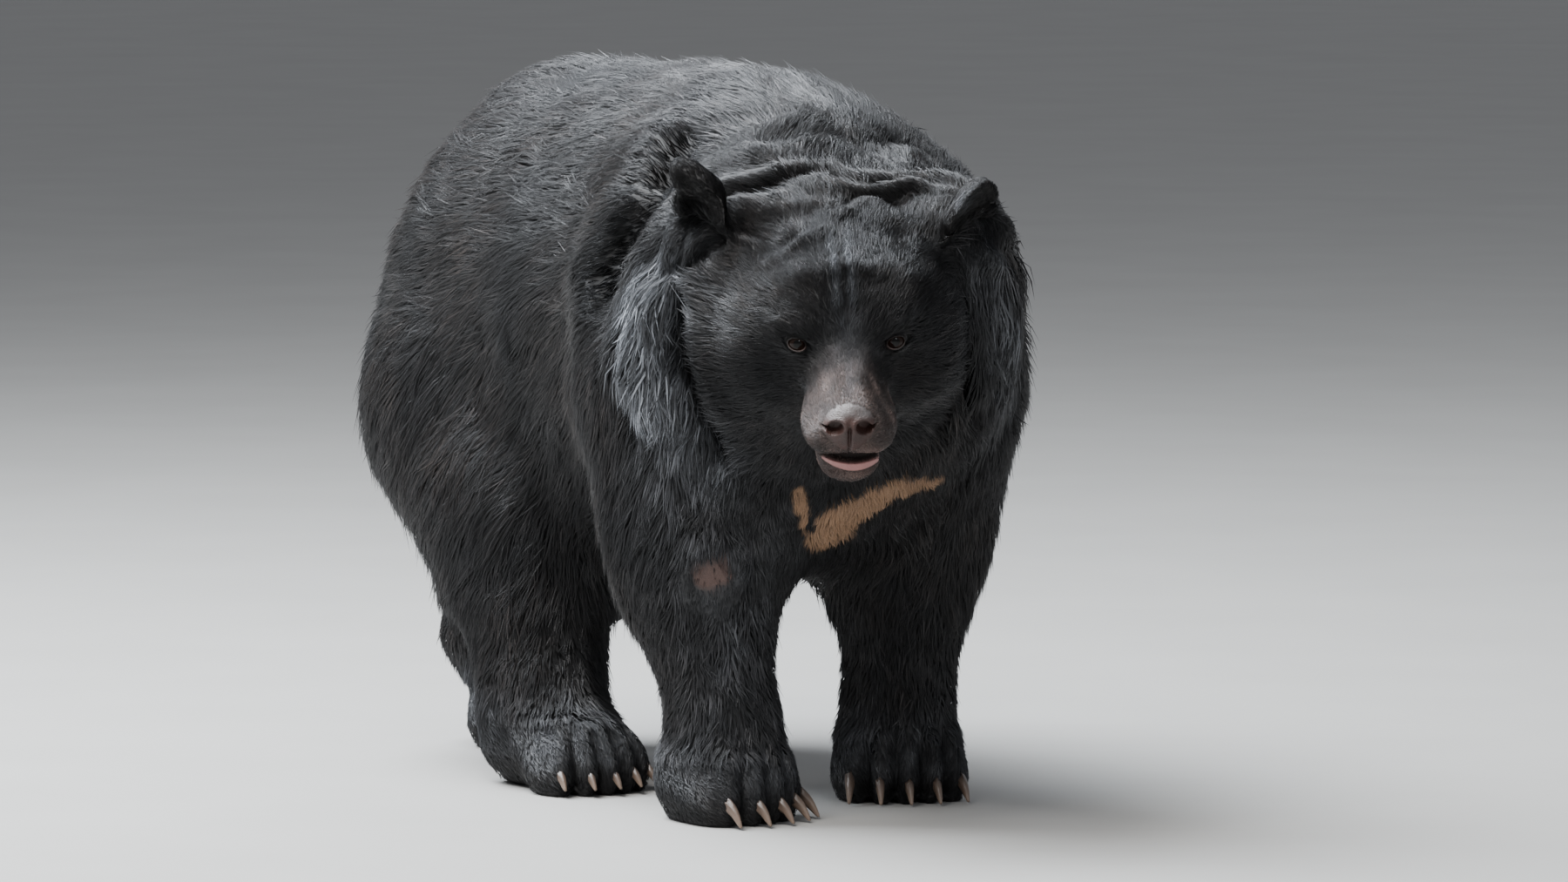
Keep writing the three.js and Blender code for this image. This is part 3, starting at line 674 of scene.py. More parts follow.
# Folds of the loose skin, each by its reach, its height (below 0 for a crease) and its bent line.
FOLDS = (
    # the right side of the ruff: a gap next to the cheek, a long lock, and two creases behind it
    (0.012, -0.026, ((-0.266, -0.432, 0.66), (-0.27, -0.415, 0.62), (-0.252, -0.406, 0.548),
                     (-0.218, -0.4, 0.481), (-0.175, -0.401, 0.43))),
    (0.026, 0.018, ((-0.279, -0.399, 0.679), (-0.285, -0.361, 0.631), (-0.281, -0.343, 0.577),
                    (-0.268, -0.343, 0.517), (-0.246, -0.349, 0.458))),
    (0.013, -0.024, ((-0.286, -0.355, 0.661), (-0.288, -0.321, 0.626), (-0.288, -0.302, 0.574),
                     (-0.284, -0.295, 0.515), (-0.27, -0.302, 0.456))),
    (0.009, -0.016, ((-0.286, -0.271, 0.609), (-0.288, -0.251, 0.571), (-0.29, -0.263, 0.533))),
    (0.011, 0.007, ((-0.259, -0.442, 0.692), (-0.26, -0.432, 0.618), (-0.243, -0.421, 0.549),
                    (-0.204, -0.414, 0.479))),
    # its left side
    (0.011, -0.010, ((0.048, -0.584, 0.639), (0.07, -0.555, 0.574), (0.092, -0.498, 0.506),
                     (0.092, -0.445, 0.449))),
)
# The deep crease behind the right shoulder, from the withers down. A roll of the flank hangs over its back.
SHOULDER_CREASE = (
    (-0.137, -0.209, 0.86), (-0.173, -0.222, 0.833), (-0.205, -0.247, 0.802), (-0.242, -0.262, 0.755),
    (-0.258, -0.214, 0.71), (-0.272, -0.198, 0.66), (-0.278, -0.213, 0.626), (-0.286, -0.248, 0.585),
)
# The folds over the nape: how far each is behind the brow, its reach and its height.
NAPE_FOLDS = ((0.132, 0.012, 0.008), (0.176, 0.017, 0.014), (0.232, 0.021, 0.016), (0.305, 0.026, 0.014),
              (0.39, 0.026, 0.009))


def face_ring(head):
    """1 along the edge of the face's round, where the cheeks meet the ruff."""
    return np.hypot((head[:, 0] - FACE_SIDE) / FACE_WIDE, (head[:, 2] - FACE_UP) / FACE_HIGH)


def snapped(line, tree, steps=6):
    """A bent line, made of shorter pieces that keep to the skin."""
    line = np.array(line)
    fine = [line[0]]
    for a, b in zip(line[:-1], line[1:]):
        fine += [a + (b - a) * k / steps for k in range(1, steps + 1)]
    return [np.array(tree.find_nearest(p)[0]) for p in np.array(fine).tolist()]


def shape_body(co, head, tree):
    """How far the loose skin stands out or in, and where a crease keeps the hair short and is painted in
    shade.
    """
    side, ahead, up = head.T
    lift, bare = np.zeros(len(co)), np.zeros(len(co))
    # the nape's folds run across it, a little bent and uneven
    behind = -ahead - 0.22 * side + 0.25 * np.abs(side) ** 1.5
    behind += 0.042 * noise(co, 0.09, 11) + 0.018 * noise(co, 0.035, 12)
    top = rise(up, -0.1, 0.02) * rise(co[:, 2], 0.6, 0.7)
    for k, (at, reach, height) in enumerate(NAPE_FOLDS):
        much = height * np.clip(0.75 + 0.75 * noise(co, 0.075, 40 + k), 0.1, 1.3)
        lift += top * much * (bump(behind, at, reach) - 0.7 * bump(behind, at + reach * 1.7, reach * 0.8))
    # the cheeks stand clear of the ruff below and on the left
    ring = face_ring(head) + 0.05 * noise(co, 0.06, 24)
    crease = bump(ring, 1.06, 0.07) * rise(up, 0.09, 0.02) * rise(np.abs(ahead + 0.1), 0.10, 0.06)
    crease *= (0.1 + 0.9 * rise(up, -0.2, -0.07)) * (1 - 0.45 * rise(side, -0.05, 0.06))
    lift -= CHEEK_CREASE * crease
    # the cheeks' crease keeps its hair short and is painted in shade
    bare = np.maximum(bare, crease)
    for reach, height, line in FOLDS:
        close = np.linalg.norm(co - np.mean(line, axis=0), axis=1) < 0.3
        far, along, _ = from_line(co[close], snapped(line, tree))
        hill = bump(far, 0, reach) * rise(along, 0.0, 0.2) * rise(along, 1.0, 0.8)
        lift[close] += height * hill
        # a crease keeps its hair short and is painted in shade
        if height < 0:
            bare[close] = np.maximum(bare[close], hill)
    # the skin dips towards the shoulder's crease and rises steeply behind it, to a roll
    far, along, off = from_line(co, snapped(SHOULDER_CREASE, tree))
    back = far * np.sign(off @ (-0.3, 1.0, 0.25))
    ends = rise(along, 0.0, 0.12) * rise(along, 1.0, 0.85)
    lift -= ends * SHOULDER_DIP * rise(back, -0.11, -0.004) * rise(back, 0.028, 0.0)
    lift += ends * FLANK_ROLL * rise(back, 0.0, 0.028) * rise(back, 0.13, 0.04)
    # the shoulder's crease keeps its hair short and is painted in shade
    bare = np.maximum(bare, ends * rise(back, -0.085, -0.02) * rise(back, 0.026, 0.012))
    # wool lies in lumps between the ears, and loose skin moves a little everywhere under the long coat
    crown = rise(up, 0.06, 0.085) * rise(np.abs(side), 0.13, 0.08)
    lift += crown * CROWN_LUMPS * noise(co, 0.028, 23)
    loose = rise(co[:, 2], 0.1, 0.25) * rise(np.abs(ahead + 0.02), 0.1, 0.16)
    lift += loose * (0.003 * noise(co, 0.09, 21) + 0.002 * noise(co, 0.045, 22))
    return lift, bare


def ear_opens(s):
    """The way that an ear's hollow faces."""
    return unit(FORWARD + LEFT * 1.3 * s)


def ear_hull(side_name):
    """The ear's solid with its hollow closed over."""
    hull = copy_of(["ear_" + side_name], "hull")
    bpy.ops.object.mode_set(mode="EDIT")
    bpy.ops.mesh.select_all(action="SELECT")
    bpy.ops.mesh.convex_hull()
    bpy.ops.object.mode_set(mode="OBJECT")
    faces = [tuple(face.vertices) for face in hull.data.polygons]
    tree = BVHTree.FromPolygons(coordinates(hull.data).tolist(), faces)
    bpy.data.objects.remove(hull)
    return tree


def fill_ears(co, normals, is_ear):
    """Hair fills most of each ear's hollow, so that its front is nearly flat."""
    head = on_head(co)
    for side_name, s in SIDES.items():
        way = ear_opens(s)
        hull = ear_hull(side_name)
        hollow = np.nonzero((is_ear > 0.3) & (head[:, 0] * s > 0.05) & (normals @ way > 0.1))[0]
        for i in hollow:
            far = hull.ray_cast(co[i].tolist(), way.tolist())[3]
            if far:
                co[i] += way * max(0.0, far - EAR_RIM) * EAR_FILLED * is_ear[i]
    return co


def shade(co, is_ear):
    """How much painted shade the coat takes with no crease: over the face, on the ears and the nape, and in a
    few places.
    """
    head = on_head(co)
    _, ahead, up = head.T
    on_face = rise(face_ring(head), 1.2, 0.95) * rise(ahead, -0.2, -0.1) * rise(ahead, 0.03, 0.0)
    over_face = on_face * (0.12 + 0.28 * rise(up, 0.0, 0.05) + 0.2 * rise(up, 0.06, 0.1))
    spots = [much * bump(from_point(co, place), 0, reach) for place, reach, much in PAINTED_SHADE_SPOTS]
    return np.max([over_face, 0.5 * is_ear, 0.2 * by_nape(co), *spots], axis=0)


def shape_ears(head, is_ear):
    """Draws both ears in towards their tips, makes one taller and one lower, and turns them forward."""
    for side_name, s in SIDES.items():
        root, top = ear_ends(side_name, 0.9)
        size = np.linalg.norm(top - root)
        axis = (top - root) / size
        across = unit(np.cross(axis, (0, 1, 0)))
        t = (head - root) @ axis / size
        here = is_ear * rise(t, -0.1, 0.3) * (head[:, 0] * s > 0)
        wide = (head - root) @ across - EAR_NARROWS_FROM[side_name]
        narrow = EAR_NARROWS + 0.1 * rise(t, 0.5, 1.1) + 0.08 * (s > 0)
        head = head - (wide * narrow * here)[:, None] * across
        head = head + (EAR_TALLER[side_name] * t * size * here)[:, None] * axis
        head[:, 0] += EAR_IN[side_name] * rise(t, 0.0, 0.7) * here
        # each ear is turned about its length, so that its hollow faces further forward
        angle = EAR_TURN * s * here
        v = head - root
        v = v - (v @ axis)[:, None] * axis
        turned = v * np.cos(angle)[:, None] + np.cross(axis, v) * np.sin(angle)[:, None]
        head = head + turned - v
    return head


def along_toe(co, heel, tip, starts):
    """How far places are beside the line from a heel to a tip, and 1 where that line is in a toe."""
    way = tip - heel
    way[2] = 0
    way = unit(way)
    along, off = (co - tip) @ way, (co - tip) @ np.array([-way[1], way[0], 0])
    return off, rise(along, starts, starts + 0.05) * (np.abs(off) < 0.04) * (along < 0.05)


def toe_clefts(co, is_paw):
    """How far the skin dips between the toes and swells over each of them."""
    lift = np.zeros(len(co))
    for foot in FEET:
        ahead = foot_way(foot)
        aside = np.array([-ahead[1], ahead[0], 0])
        tips = sorted((middle(c) for c in CLAWED[foot]), key=lambda p: p @ aside)
        heel = middle("paw_" + foot) - ahead * 0.05
        for tip in tips:
            off, reach = along_toe(co, heel, tip, -0.065)
            lift += reach * is_paw * TOE_SWELLS * bump(off, 0, 0.011)
        for tip, after in zip(tips, tips[1:]):
            off, reach = along_toe(co, heel, (tip + after) / 2, -0.06)
            lift -= reach * is_paw * CLEFT_DEEP * bump(off, 0, 0.0065)
    return lift


def shape_face(head):
    """Brows, the forehead's fold, the bridge, the nose and the lips, as moves in the head's own terms."""
    side, ahead, up = head.T
    wide = np.abs(side)
    front = rise(ahead, -0.06, 0.0)
    move = np.zeros_like(head)
    # brow ridges, the hollow between them, and a hollow under each eye's inner corner
    move[:, 1] += front * BROW_RIDGE * bump(np.hypot(wide - 0.052, (up - 0.026) * 1.3), 0, 0.018)
    move[:, 1] -= front * BROW_HOLLOW * bump(wide, 0, 0.008) * rise(up, -0.005, 0.03) * rise(up, 0.11, 0.06)
    move[:, 1] -= front * UNDER_EYE * bump(np.hypot(wide - 0.037, up + 0.012), 0, 0.014)
    # the fold that arches over the forehead from ear to ear
    arch = np.hypot(side / 0.115, up / 0.082)
    over = rise(up, 0.0, 0.04) * rise(ahead, -0.16, -0.08)
    move[:, 2] += over * FOREHEAD_FOLD * (bump(arch, 1.0, 0.07) - 0.5 * bump(arch, 0.88, 0.06))
    # the bridge is flat on top with a shallow groove, and the lips' pads swell at its sides
    bridge = rise(ahead, 0.02, 0.05) * rise(ahead, NOSE_TIP - 0.02, NOSE_TIP - 0.035)
    move[:, 2] -= bridge * BRIDGE_GROOVE * bump(wide, 0, 0.006) * rise(up, -0.04, -0.02)
    pads = rise(ahead, 0.05, 0.08) * bump(np.hypot((wide - 0.034) / 1.1, up + 0.078), 0, 0.017)
    move[:, 1] += pads * LIP_PADS
    # the nose pad stands proud of the hair, with a wing round each nostril and a groove down its middle
    pad, height = nose_pad(head), slant(head)
    on_tip = rise(ahead, NOSE_TIP - 0.04, NOSE_TIP - 0.026)
    middle_off = side - NOSE_MIDDLE
    aside = np.abs(middle_off) - NOSTRIL_ASIDE
    move[:, 1] += on_tip * NOSE_PROUD * rise(pad, 1.08, 0.9)
    hole = np.hypot(aside / NOSTRIL_WIDE, (height - NOSTRIL) / NOSTRIL_HIGH)
    slit = np.hypot((aside - 0.008) / 0.0075, (height - NOSTRIL - 0.4 * (aside - 0.006)) / 0.003)
    inside = np.maximum(rise(hole, 1.15, 0.75), 0.8 * rise(slit, 1.2, 0.7))
    move[:, 1] -= on_tip * NOSTRIL_DEEP * inside
    wing = np.hypot(aside / 0.0130, (height - NOSTRIL - 0.001) / 0.0108)
    move[:, 1] += on_tip * NOSTRIL_WING * bump(wing, 1.0, 0.24) * rise(height, NOSTRIL - 0.01, NOSTRIL)
    under = rise(height, NOSTRIL + 0.003, NOSTRIL - 0.005) * rise(height, -0.136, -0.132)
    move[:, 1] -= rise(ahead, 0.08, 0.1) * NOSE_GROOVE * bump(middle_off, 0, 0.0021) * under
    # the parted lips
    lips = lip_marks(head)
    move[:, 1] -= MOUTH_DEEP * lips["mouth"] * rise(ahead, 0.05, 0.09)
    move[:, 1] += LIP_PROUD * lips["lip"]
    return move


def slant(head):
    """Heights on the muzzle's slanting front, by which the nose and the mouth are laid out."""
    return 0.850 * head[:, 2] - 0.526 * head[:, 1]


def nose_pad(head):
    """0 in the middle of the nose's bare pad and 1 round its edge."""
    height = slant(head)
    narrow = 1 - 0.28 * rise(height, NOSTRIL, -0.128)
    return np.hypot((head[:, 0] - NOSE_MIDDLE) / (NOSE_WIDE * narrow), (height - NOSE_HEIGHT) / NOSE_HIGH)


def lids(head, side_name):
    """Closes the skin round an eye into two lids, and takes it behind the ball where the eye is open. Also
    says where the lids' rims are, where they are pink, and where no hair grows."""
    s = SIDES[side_name]
    centre = on_head(EYES[side_name])
    gaze = unit(np.array([0.16 * s, 1.0, 0.3]))
    across = unit(np.cross(gaze, (0, 0, 1))) * s
    upward = np.cross(across, gaze) * s
    v = head - centre
    x, y, z = v @ across, v @ upward, v @ gaze
    y = y - 0.1 * x  # the outer corner sits a little higher
    e = np.hypot(x / EYE_OPEN_WIDE, y / (EYE_OPEN_HIGH * np.where(y > 0, 1.05, 1)))
    ball = np.sqrt(np.maximum(EYE_RADIUS**2 - x**2 - y**2, 0))
    near = (e < 4) & (z > -0.012)
    lid = ball + LID_THICK + 0.0009 * bump(e, 1.12, 0.14)
    blend_out = rise(e, 2.6, 1.15)
    target = np.where(e < 1.0, ball - 0.004, z + (lid - z) * blend_out)
    edge = rise(e, 0.94, 1.04)
    target = np.where(e < 1.1, (ball - 0.004) * (1 - edge) + lid * edge, target)
    target = target - 0.0022 * bump(e, 1.75, 0.16) * (y > -0.004)
    moved = head + np.where(near, target - z, 0)[:, None] * gaze
    rim = bump(e, 1.06, 0.15) * near
    pink = rise(y, 0.001, -0.004) * (0.35 + 0.65 * rise(x, 0.002, -0.008))
    return moved, rim, rim * pink * 0.8, near & (e < 1.4)


def thin_coat(mesh, head, normals, marks, shut):
    """Takes the coat away where the skin is bare, wet or underfoot, and shortens it round the mouth."""
    low = coordinates(mesh)[:, 2] < 0.03
    dense = get_attribute(mesh, "dense") * (1 - np.clip(shut, 0, 1))
    dense *= 1 - 0.9 * marks["bare"] * (head[:, 1] < 0)
    dense *= rise(normals[:, 2], -0.9, -0.6) + ~low
    put_attribute(mesh, "dense", np.clip(dense, 0, None))
    by_mouth = np.hypot((head[:, 0] - MOUTH_MIDDLE) / 0.05, (slant(head) - MOUTH_HEIGHT - 0.001) / 0.026)
    by_mouth = rise(by_mouth, 1.2, 0.8) * (head[:, 1] > 0.05)
    put_attribute(mesh, "length", get_attribute(mesh, "length") * (1 - 0.72 * by_mouth))


def build_skin(settings):
    skin, part, edges, count = rough_skin(settings)
    note_coat(skin, part, edges, count)
    refine(skin, settings)
    mesh = skin.data
    co, normals = coordinates(mesh), vertex_normals(mesh)
    is_ear = get_attribute(mesh, "is_ear")
    tree = BVHTree.FromPolygons(co.tolist(), triangles(mesh).tolist())
    # the body's folds, with shorter hair in its creases, under the whole coat's depth
    lift, bare = shape_body(co, on_head(co), tree)
    # painted shade: the coat is darker in its creases and where shade() calls for it, in place of the shade
    # that falls there
    put_attribute(mesh, "painted_shade", np.maximum(bare, shade(co, is_ear)))
    lift *= rise(get_attribute(mesh, "is_face"), 0.6, 0.1)
    lift += toe_clefts(co, rise(get_attribute(mesh, "is_paw"), 0.2, 0.7))
    for key, least in (("depth", 0.2), ("length", 0.35), ("width", 0.7)):
        put_attribute(mesh, key, get_attribute(mesh, key) * (1 - (1 - least) * bare))
    depth = get_attribute(mesh, "depth") / 1000
    on_sole = rise(co[:, 2], 0.012, 0.002) * rise(normals[:, 2], -0.5, -0.8)
    co = co + normals * (lift - depth * (1 - on_sole))[:, None]
    co[:, 2] = np.maximum(co[:, 2], FLOOR)
    co = fill_ears(co, normals, is_ear)
    # the face, the ears and the lids, in the head's own terms
    head = on_head(co)
    marks = markings(co, head)
    mouth = lip_marks(head)["mouth"]
    head = head + shape_face(head)
    head = shape_ears(head, is_ear)
    rims, pinks, shut = np.zeros(len(co)), np.zeros(len(co)), np.zeros(len(co))
    for side_name in SIDES:
        head, rim, pink, near = lids(head, side_name)
        rims, pinks, shut = np.maximum(rims, rim), np.maximum(pinks, pink), np.maximum(shut, near)
    move_vertices(mesh, head @ HEAD + BROW)
    lip = lip_marks(head)["lip"] * (1 - mouth)
    thin_coat(mesh, head, normals, marks, marks["pad"] + shut + lip + mouth)
    put_marks(mesh, marks)
    put_attribute(mesh, "wet", np.stack([marks["pad"], lip, rims, mouth], 1))
    put_attribute(mesh, "fine", np.stack([pinks * 0.7, marks["rim"], np.zeros(len(co)), np.ones(len(co))], 1))
    mesh.shade_smooth()
    return skin


def lip_marks(head):
    """The lower lip's crescent and the dark gap over it, by heights along the slanting front of the mouth."""
    ahead, height = head[:, 1], slant(head)
    x = np.abs(head[:, 0] - MOUTH_MIDDLE) / LIP_REACH
    front = rise(ahead, 0.055, 0.07) * rise(x, 1.05, 0.95)
    middle_line = LIP_HEIGHT + 0.0125 * x**2
    thick = LIP_THICK * np.sqrt(np.clip(1 - x**2, 0, 1)) + 0.0004
    lip = front * rise(np.abs(height - middle_line), thick + 0.0008, thick - 0.0008)
    roof = -0.134 + 0.001 * x**2
    floor = middle_line + thick
    inside = rise(height, roof + 0.001, roof - 0.001) * rise(height, floor - 0.001, floor + 0.001)
    mouth = front * np.maximum(inside, bump(height, roof, 0.0022))
    return dict(lip=lip, mouth=mouth)


# ---------------------------------------------------------------- the coat's tufts

# Where a tuft's rings sit between its root at 0 and its tip at 1, and how wide each is. Long tufts have two.
SHORT_TUFT = ((0.36,), (1.0,))
LONG_TUFT = ((0.28, 0.66), (1.0, 0.74))
LONG_HAIRED = ("coat_ruff", "coat_tail")
EDGE_TURN = 0.35  # how far the normals along a tuft's edges lean out
BAKE_SPOT = 0.003  # how wide a tuft's patch is on the map to bake
ROOT_SINKS = 0.0006  # how far a root sits under the skin
OVER_FLOOR = 0.0012  # how low a tuft's middle may hang


def coat_faces(skin):
    """Which faces of the skin each coat piece grows on."""
    mesh = skin.data
    tris = triangles(mesh)
    mid = coordinates(mesh)[tris].mean(1)
    head = on_head(mid)
    weights = np.stack([get_attribute(mesh, "is_" + name)[tris].mean(1) for name in PARTS], 1)
    part = weights.argmax(1)
    is_ = {name: part == i for i, name in enumerate(PARTS)}
    right = mid[:, 0] < 0
    face_right = head[:, 0] < 0
    high = mid[:, 2] > 0.74
    brow = head[:, 2] > 0.035
    rear = mid[:, 1] > 0.15
    front = mid[:, 1] < 0
    short = get_attribute(mesh, "length")[tris].mean(1) < 42
    nape = is_["neck"] & short & (mid[:, 2] > 0.7)
    pieces = {
        "coat_muzzle": is_["face"],
        "coat_forehead": is_["head"] & brow,
        "coat_cheek_right": is_["head"] & ~brow & face_right,
        "coat_cheek_left": is_["head"] & ~brow & ~face_right,
        "coat_ears": is_["ear"],
        "coat_nape": nape,
        "coat_ruff_right": is_["neck"] & ~nape & face_right,
        "coat_ruff_left": is_["neck"] & ~nape & ~face_right,
        "coat_back": is_["trunk"] & high & ~rear,
        "coat_rump": is_["trunk"] & high & rear,
        "coat_flank_right": is_["trunk"] & ~high & right,
        "coat_flank_left": is_["trunk"] & ~high & ~right,
        "coat_shoulders": is_["upper_front"],
        "coat_thighs": is_["upper_hind"],
        "coat_forelegs": is_["lower"] & front,
        "coat_hindlegs": is_["lower"] & ~front,
        "coat_paws": is_["paw"],
        "coat_tail": is_["tail"],
    }
    return tris, {name: np.nonzero(chosen)[0] for name, chosen in pieces.items()}


def unwrapped(co, tris):
    """Where each corner of these faces lies on an unwrap of their own shape."""
    used, local = np.unique(tris, return_inverse=True)
    mesh = bpy.data.meshes.new("patch")
    mesh.from_pydata(co[used].tolist(), [], local.reshape(-1, 3).tolist())
    patch = bpy.data.objects.new("patch", mesh)
    bpy.context.scene.collection.objects.link(patch)
    mesh.uv_layers.new(name="unwrap")
    only(patch)
    bpy.ops.object.mode_set(mode="EDIT")
    bpy.ops.mesh.select_all(action="SELECT")
    bpy.ops.uv.smart_project(angle_limit=math.radians(66), island_margin=0.004)
    bpy.ops.object.mode_set(mode="OBJECT")
    uv = np.empty(len(tris) * 6)
    mesh.uv_layers.active.data.foreach_get("uv", uv)
    bpy.data.objects.remove(patch)
    bpy.data.meshes.remove(mesh)
    return uv.reshape(-1, 3, 2)


class Skin:
    """The skin's arrays, and the nearest place on it to any other."""

    def __init__(self, skin):
        mesh = skin.data
        self.tris, self.pieces = coat_faces(skin)
        self.co = coordinates(mesh)
        self.normals = vertex_normals(mesh)
        self.sizes = {key: get_attribute(mesh, key) for key in SIZES}
        self.lie = get_attribute(mesh, "lie", 3)
        corners = self.co[self.tris]
        cross = np.cross(corners[:, 1] - corners[:, 0], corners[:, 2] - corners[:, 0])
        self.area = np.linalg.norm(cross, axis=1) / 2
        self.face_normal = unit(self.normals[self.tris].mean(1))
        self.face_lie = flat_to(unit(self.lie[self.tris].mean(1)), self.face_normal)
        self.tree = BVHTree.FromPolygons(self.co.tolist(), self.tris.tolist())

    def nearest(self, p):
        hits = [self.tree.find_nearest(q) for q in p.tolist()]
        return np.array([h[0][:] for h in hits]), np.array([h[2] for h in hits])


def sow(skin, faces, uv, share, rng):
    """Scatters roots over some faces, as densely as each calls for."""
    dense = skin.sizes["dense"][skin.tris[faces]].mean(1) * 1000 * share
    want = np.cumsum(dense * skin.area[faces])
    count = int(want[-1])
    pick = np.searchsorted(want, (np.arange(count) + rng.random(count)) * want[-1] / count)
    pick = np.minimum(pick, len(faces) - 1)
    a, b = rng.random((2, count))
    over = a + b > 1
    a, b = np.where(over, 1 - a, a), np.where(over, 1 - b, b)
    bary = np.stack([1 - a - b, a, b], 1)[:, :, None]
    corner = skin.tris[faces[pick]]

    def take(values):
        return (values[corner].reshape(count, 3, -1) * bary).sum(1)

    root = dict(
        at=take(skin.co),
        normal=unit(take(skin.normals)),
        lie=unit(take(skin.lie)),
        uv=(uv[pick] * bary).sum(1),
    )
    for key, values in skin.sizes.items():
        root[key] = take(values)[:, 0]
    return root


def grow(skin, root, stations, settings, rng):
    """Walks each tuft over the skin in the coat's lie and returns the middles and normals of its stations."""
    count = len(root["at"])
    length = root["length"] / 1000 * rng.uniform(0.75, 1.2, count) * settings.length
    depth = root["depth"] / 1000
    normal = root["normal"]
    turn = (rng.normal(0, 1, count) * root["stray"] * settings.stray)[:, None]
    lie = flat_to(root["lie"], normal)
    waver = noise(root["at"], 0.05, 33)[:, None] * 0.2 + noise(root["at"], 0.017, 34)[:, None] * 0.16
    lie = flat_to(lie + np.cross(normal, lie) * (turn + waver), normal)
    # neighbours lean together into locks about as far apart as half a tuft is long
    size = np.clip(root["length"].mean() / 1000 * 0.5, 0.006, 0.03)
    lean = -noise_slope(root["at"], size, 31) * settings.locks
    lean += -noise_slope(root["at"], size * 2.6, 32) * settings.locks * 0.6
    lean -= normal * (lean * normal).sum(1, keepdims=True)
    stand = rng.uniform(0.75, 1.1, count) * (1 + 0.3 * noise(root["at"], size, 35))
    stand += (rng.random(count) < settings.loose) * rng.uniform(0.1, 0.6, count)
    middles, normals = [root["at"] - normal * ROOT_SINKS], [normal]
    feet, done = root["at"], 0
    for t in (*stations, 1):
        aim = feet + lie * (length * (t - done))[:, None] + lean * (length * (t - done) * t)[:, None]
        feet, face = skin.nearest(aim)
        normal = unit(skin.face_normal[face] + normal * 0.35)
        bend = rng.normal(0, settings.curl, count)[:, None] * np.cross(normal, lie)
        lie = flat_to(lie * 0.6 + skin.face_lie[face] * 0.4 + bend, normal)
        height = depth * stand * (1 - (1 - t) ** 1.8)
        middles.append(feet + normal * height[:, None])
        normals.append(normal)
        done = t
    middles = np.stack(middles, 1)
    # hair hangs a little under its own weight where it is long
    droop = np.array([0, *stations, 1]) ** 2
    middles[:, :, 2] -= (length * 0.05)[:, None] * droop
    middles[:, 1:, 2] = np.maximum(middles[:, 1:, 2], FLOOR + OVER_FLOOR)
    return middles, np.stack(normals, 1)


def tuft_faces(rings):
    """The triangles of one tuft: a root, so many rings of three corners, and a tip."""
    faces = [(0, 1 + (c + 1) % 3, 1 + c) for c in range(3)]
    for k in range(rings - 1):
        for c in range(3):
            a, b = 1 + 3 * k + c, 1 + 3 * k + (c + 1) % 3
            faces += [(a, b, b + 3), (a, b + 3, a + 3)]
    last = 1 + 3 * (rings - 1)
    faces += [(last + c, last + (c + 1) % 3, last + 3) for c in range(3)]
    return np.array(faces)


def mesh_of(name, co, tris):
    mesh = bpy.data.meshes.new(name)
    mesh.vertices.add(len(co))
    mesh.vertices.foreach_set("co", co.ravel())
    mesh.loops.add(len(tris) * 3)
    mesh.loops.foreach_set("vertex_index", tris.ravel())
    mesh.polygons.add(len(tris))
    mesh.polygons.foreach_set("loop_start", np.arange(len(tris)) * 3)
    mesh.update(calc_edges=True)
    return mesh


def tuft_mesh(name, root, middles, normals, shape, rng, settings):
    """Joins the tufts as thin three-cornered spikes, pointed at both ends, in one mesh."""
    stations, girth = shape
    count, rings = len(middles), len(stations)
    step = np.gradient(middles, axis=1)
    across = unit(np.cross(normals, step))
    outward = unit(np.cross(step, across))
    width = root["width"] / 1000 * rng.uniform(0.7, 1.3, count) * settings.width
    corners = [middles[:, 0]]
    # light falls on a tuft nearly as it does on the skin under it, so that neighbours read as one coat
    faced = unit(normals * settings.sleek + outward * (1 - settings.sleek))
    shown = [faced[:, 0]]
    for k in range(1, rings + 1):
        w = (width * girth[k - 1] / 2)[:, None]
        c = middles[:, k]
        corners += [c - across[:, k] * w, c + across[:, k] * w, c + outward[:, k] * w * 0.8]
        shown += [unit(faced[:, k] + across[:, k] * aside) for aside in (-EDGE_TURN, EDGE_TURN, 0)]
    corners.append(middles[:, -1])
    shown.append(faced[:, -1])
    per = 3 * rings + 2
    co = np.stack(corners, 1).reshape(-1, 3)
    co[:, 2] = np.maximum(co[:, 2], FLOOR + OVER_FLOOR / 3)
    faces = tuft_faces(rings)
    tris = (faces[None] + (np.arange(count) * per)[:, None, None]).reshape(-1, 3)
    mesh = mesh_of(name, co, tris)
    # each tuft notes its tone, how far along it and across it a place is, and how much painted shade its
    # root's place has
    side = np.array([0] + [-1, 1, 0] * rings + [0], float)
    along = np.array([0, *np.repeat(stations, 3), 1])
    vary = 0.4 * rise(root["length"], -10, 35)
    tone = np.clip(0.5 + 0.32 * noise(root["at"], 0.016, 36) + rng.uniform(-1, 1, count) * vary, 0, 1)
    across_tuft = np.tile(side * 0.5 + 0.5, count)
    tuft = [np.repeat(tone, per), np.tile(along, count), across_tuft, np.repeat(root["painted_shade"], per)]
    put_attribute(mesh, "tuft", np.stack(tuft, 1))
    # a tuft has one colour, the one that its outer half lies over
    put_marks(mesh, markings(middles[:, -2] * 0.4 + middles[:, -1] * 0.6), per)
    spot = np.stack([side * 0.5, along - 0.5], 1) * BAKE_SPOT
    uv = (root["uv"][:, None, None] + spot[faces][None]).reshape(-1)
    layer = mesh.uv_layers.new(name="OFBake")
    layer.data.foreach_set("uv", uv)
    mesh.shade_smooth()
    mesh.normals_split_custom_set_from_vertices(np.stack(shown, 1).reshape(-1, 3))
    piece = bpy.data.objects.new(name, mesh)
    bpy.context.scene.collection.objects.link(piece)
    return piece


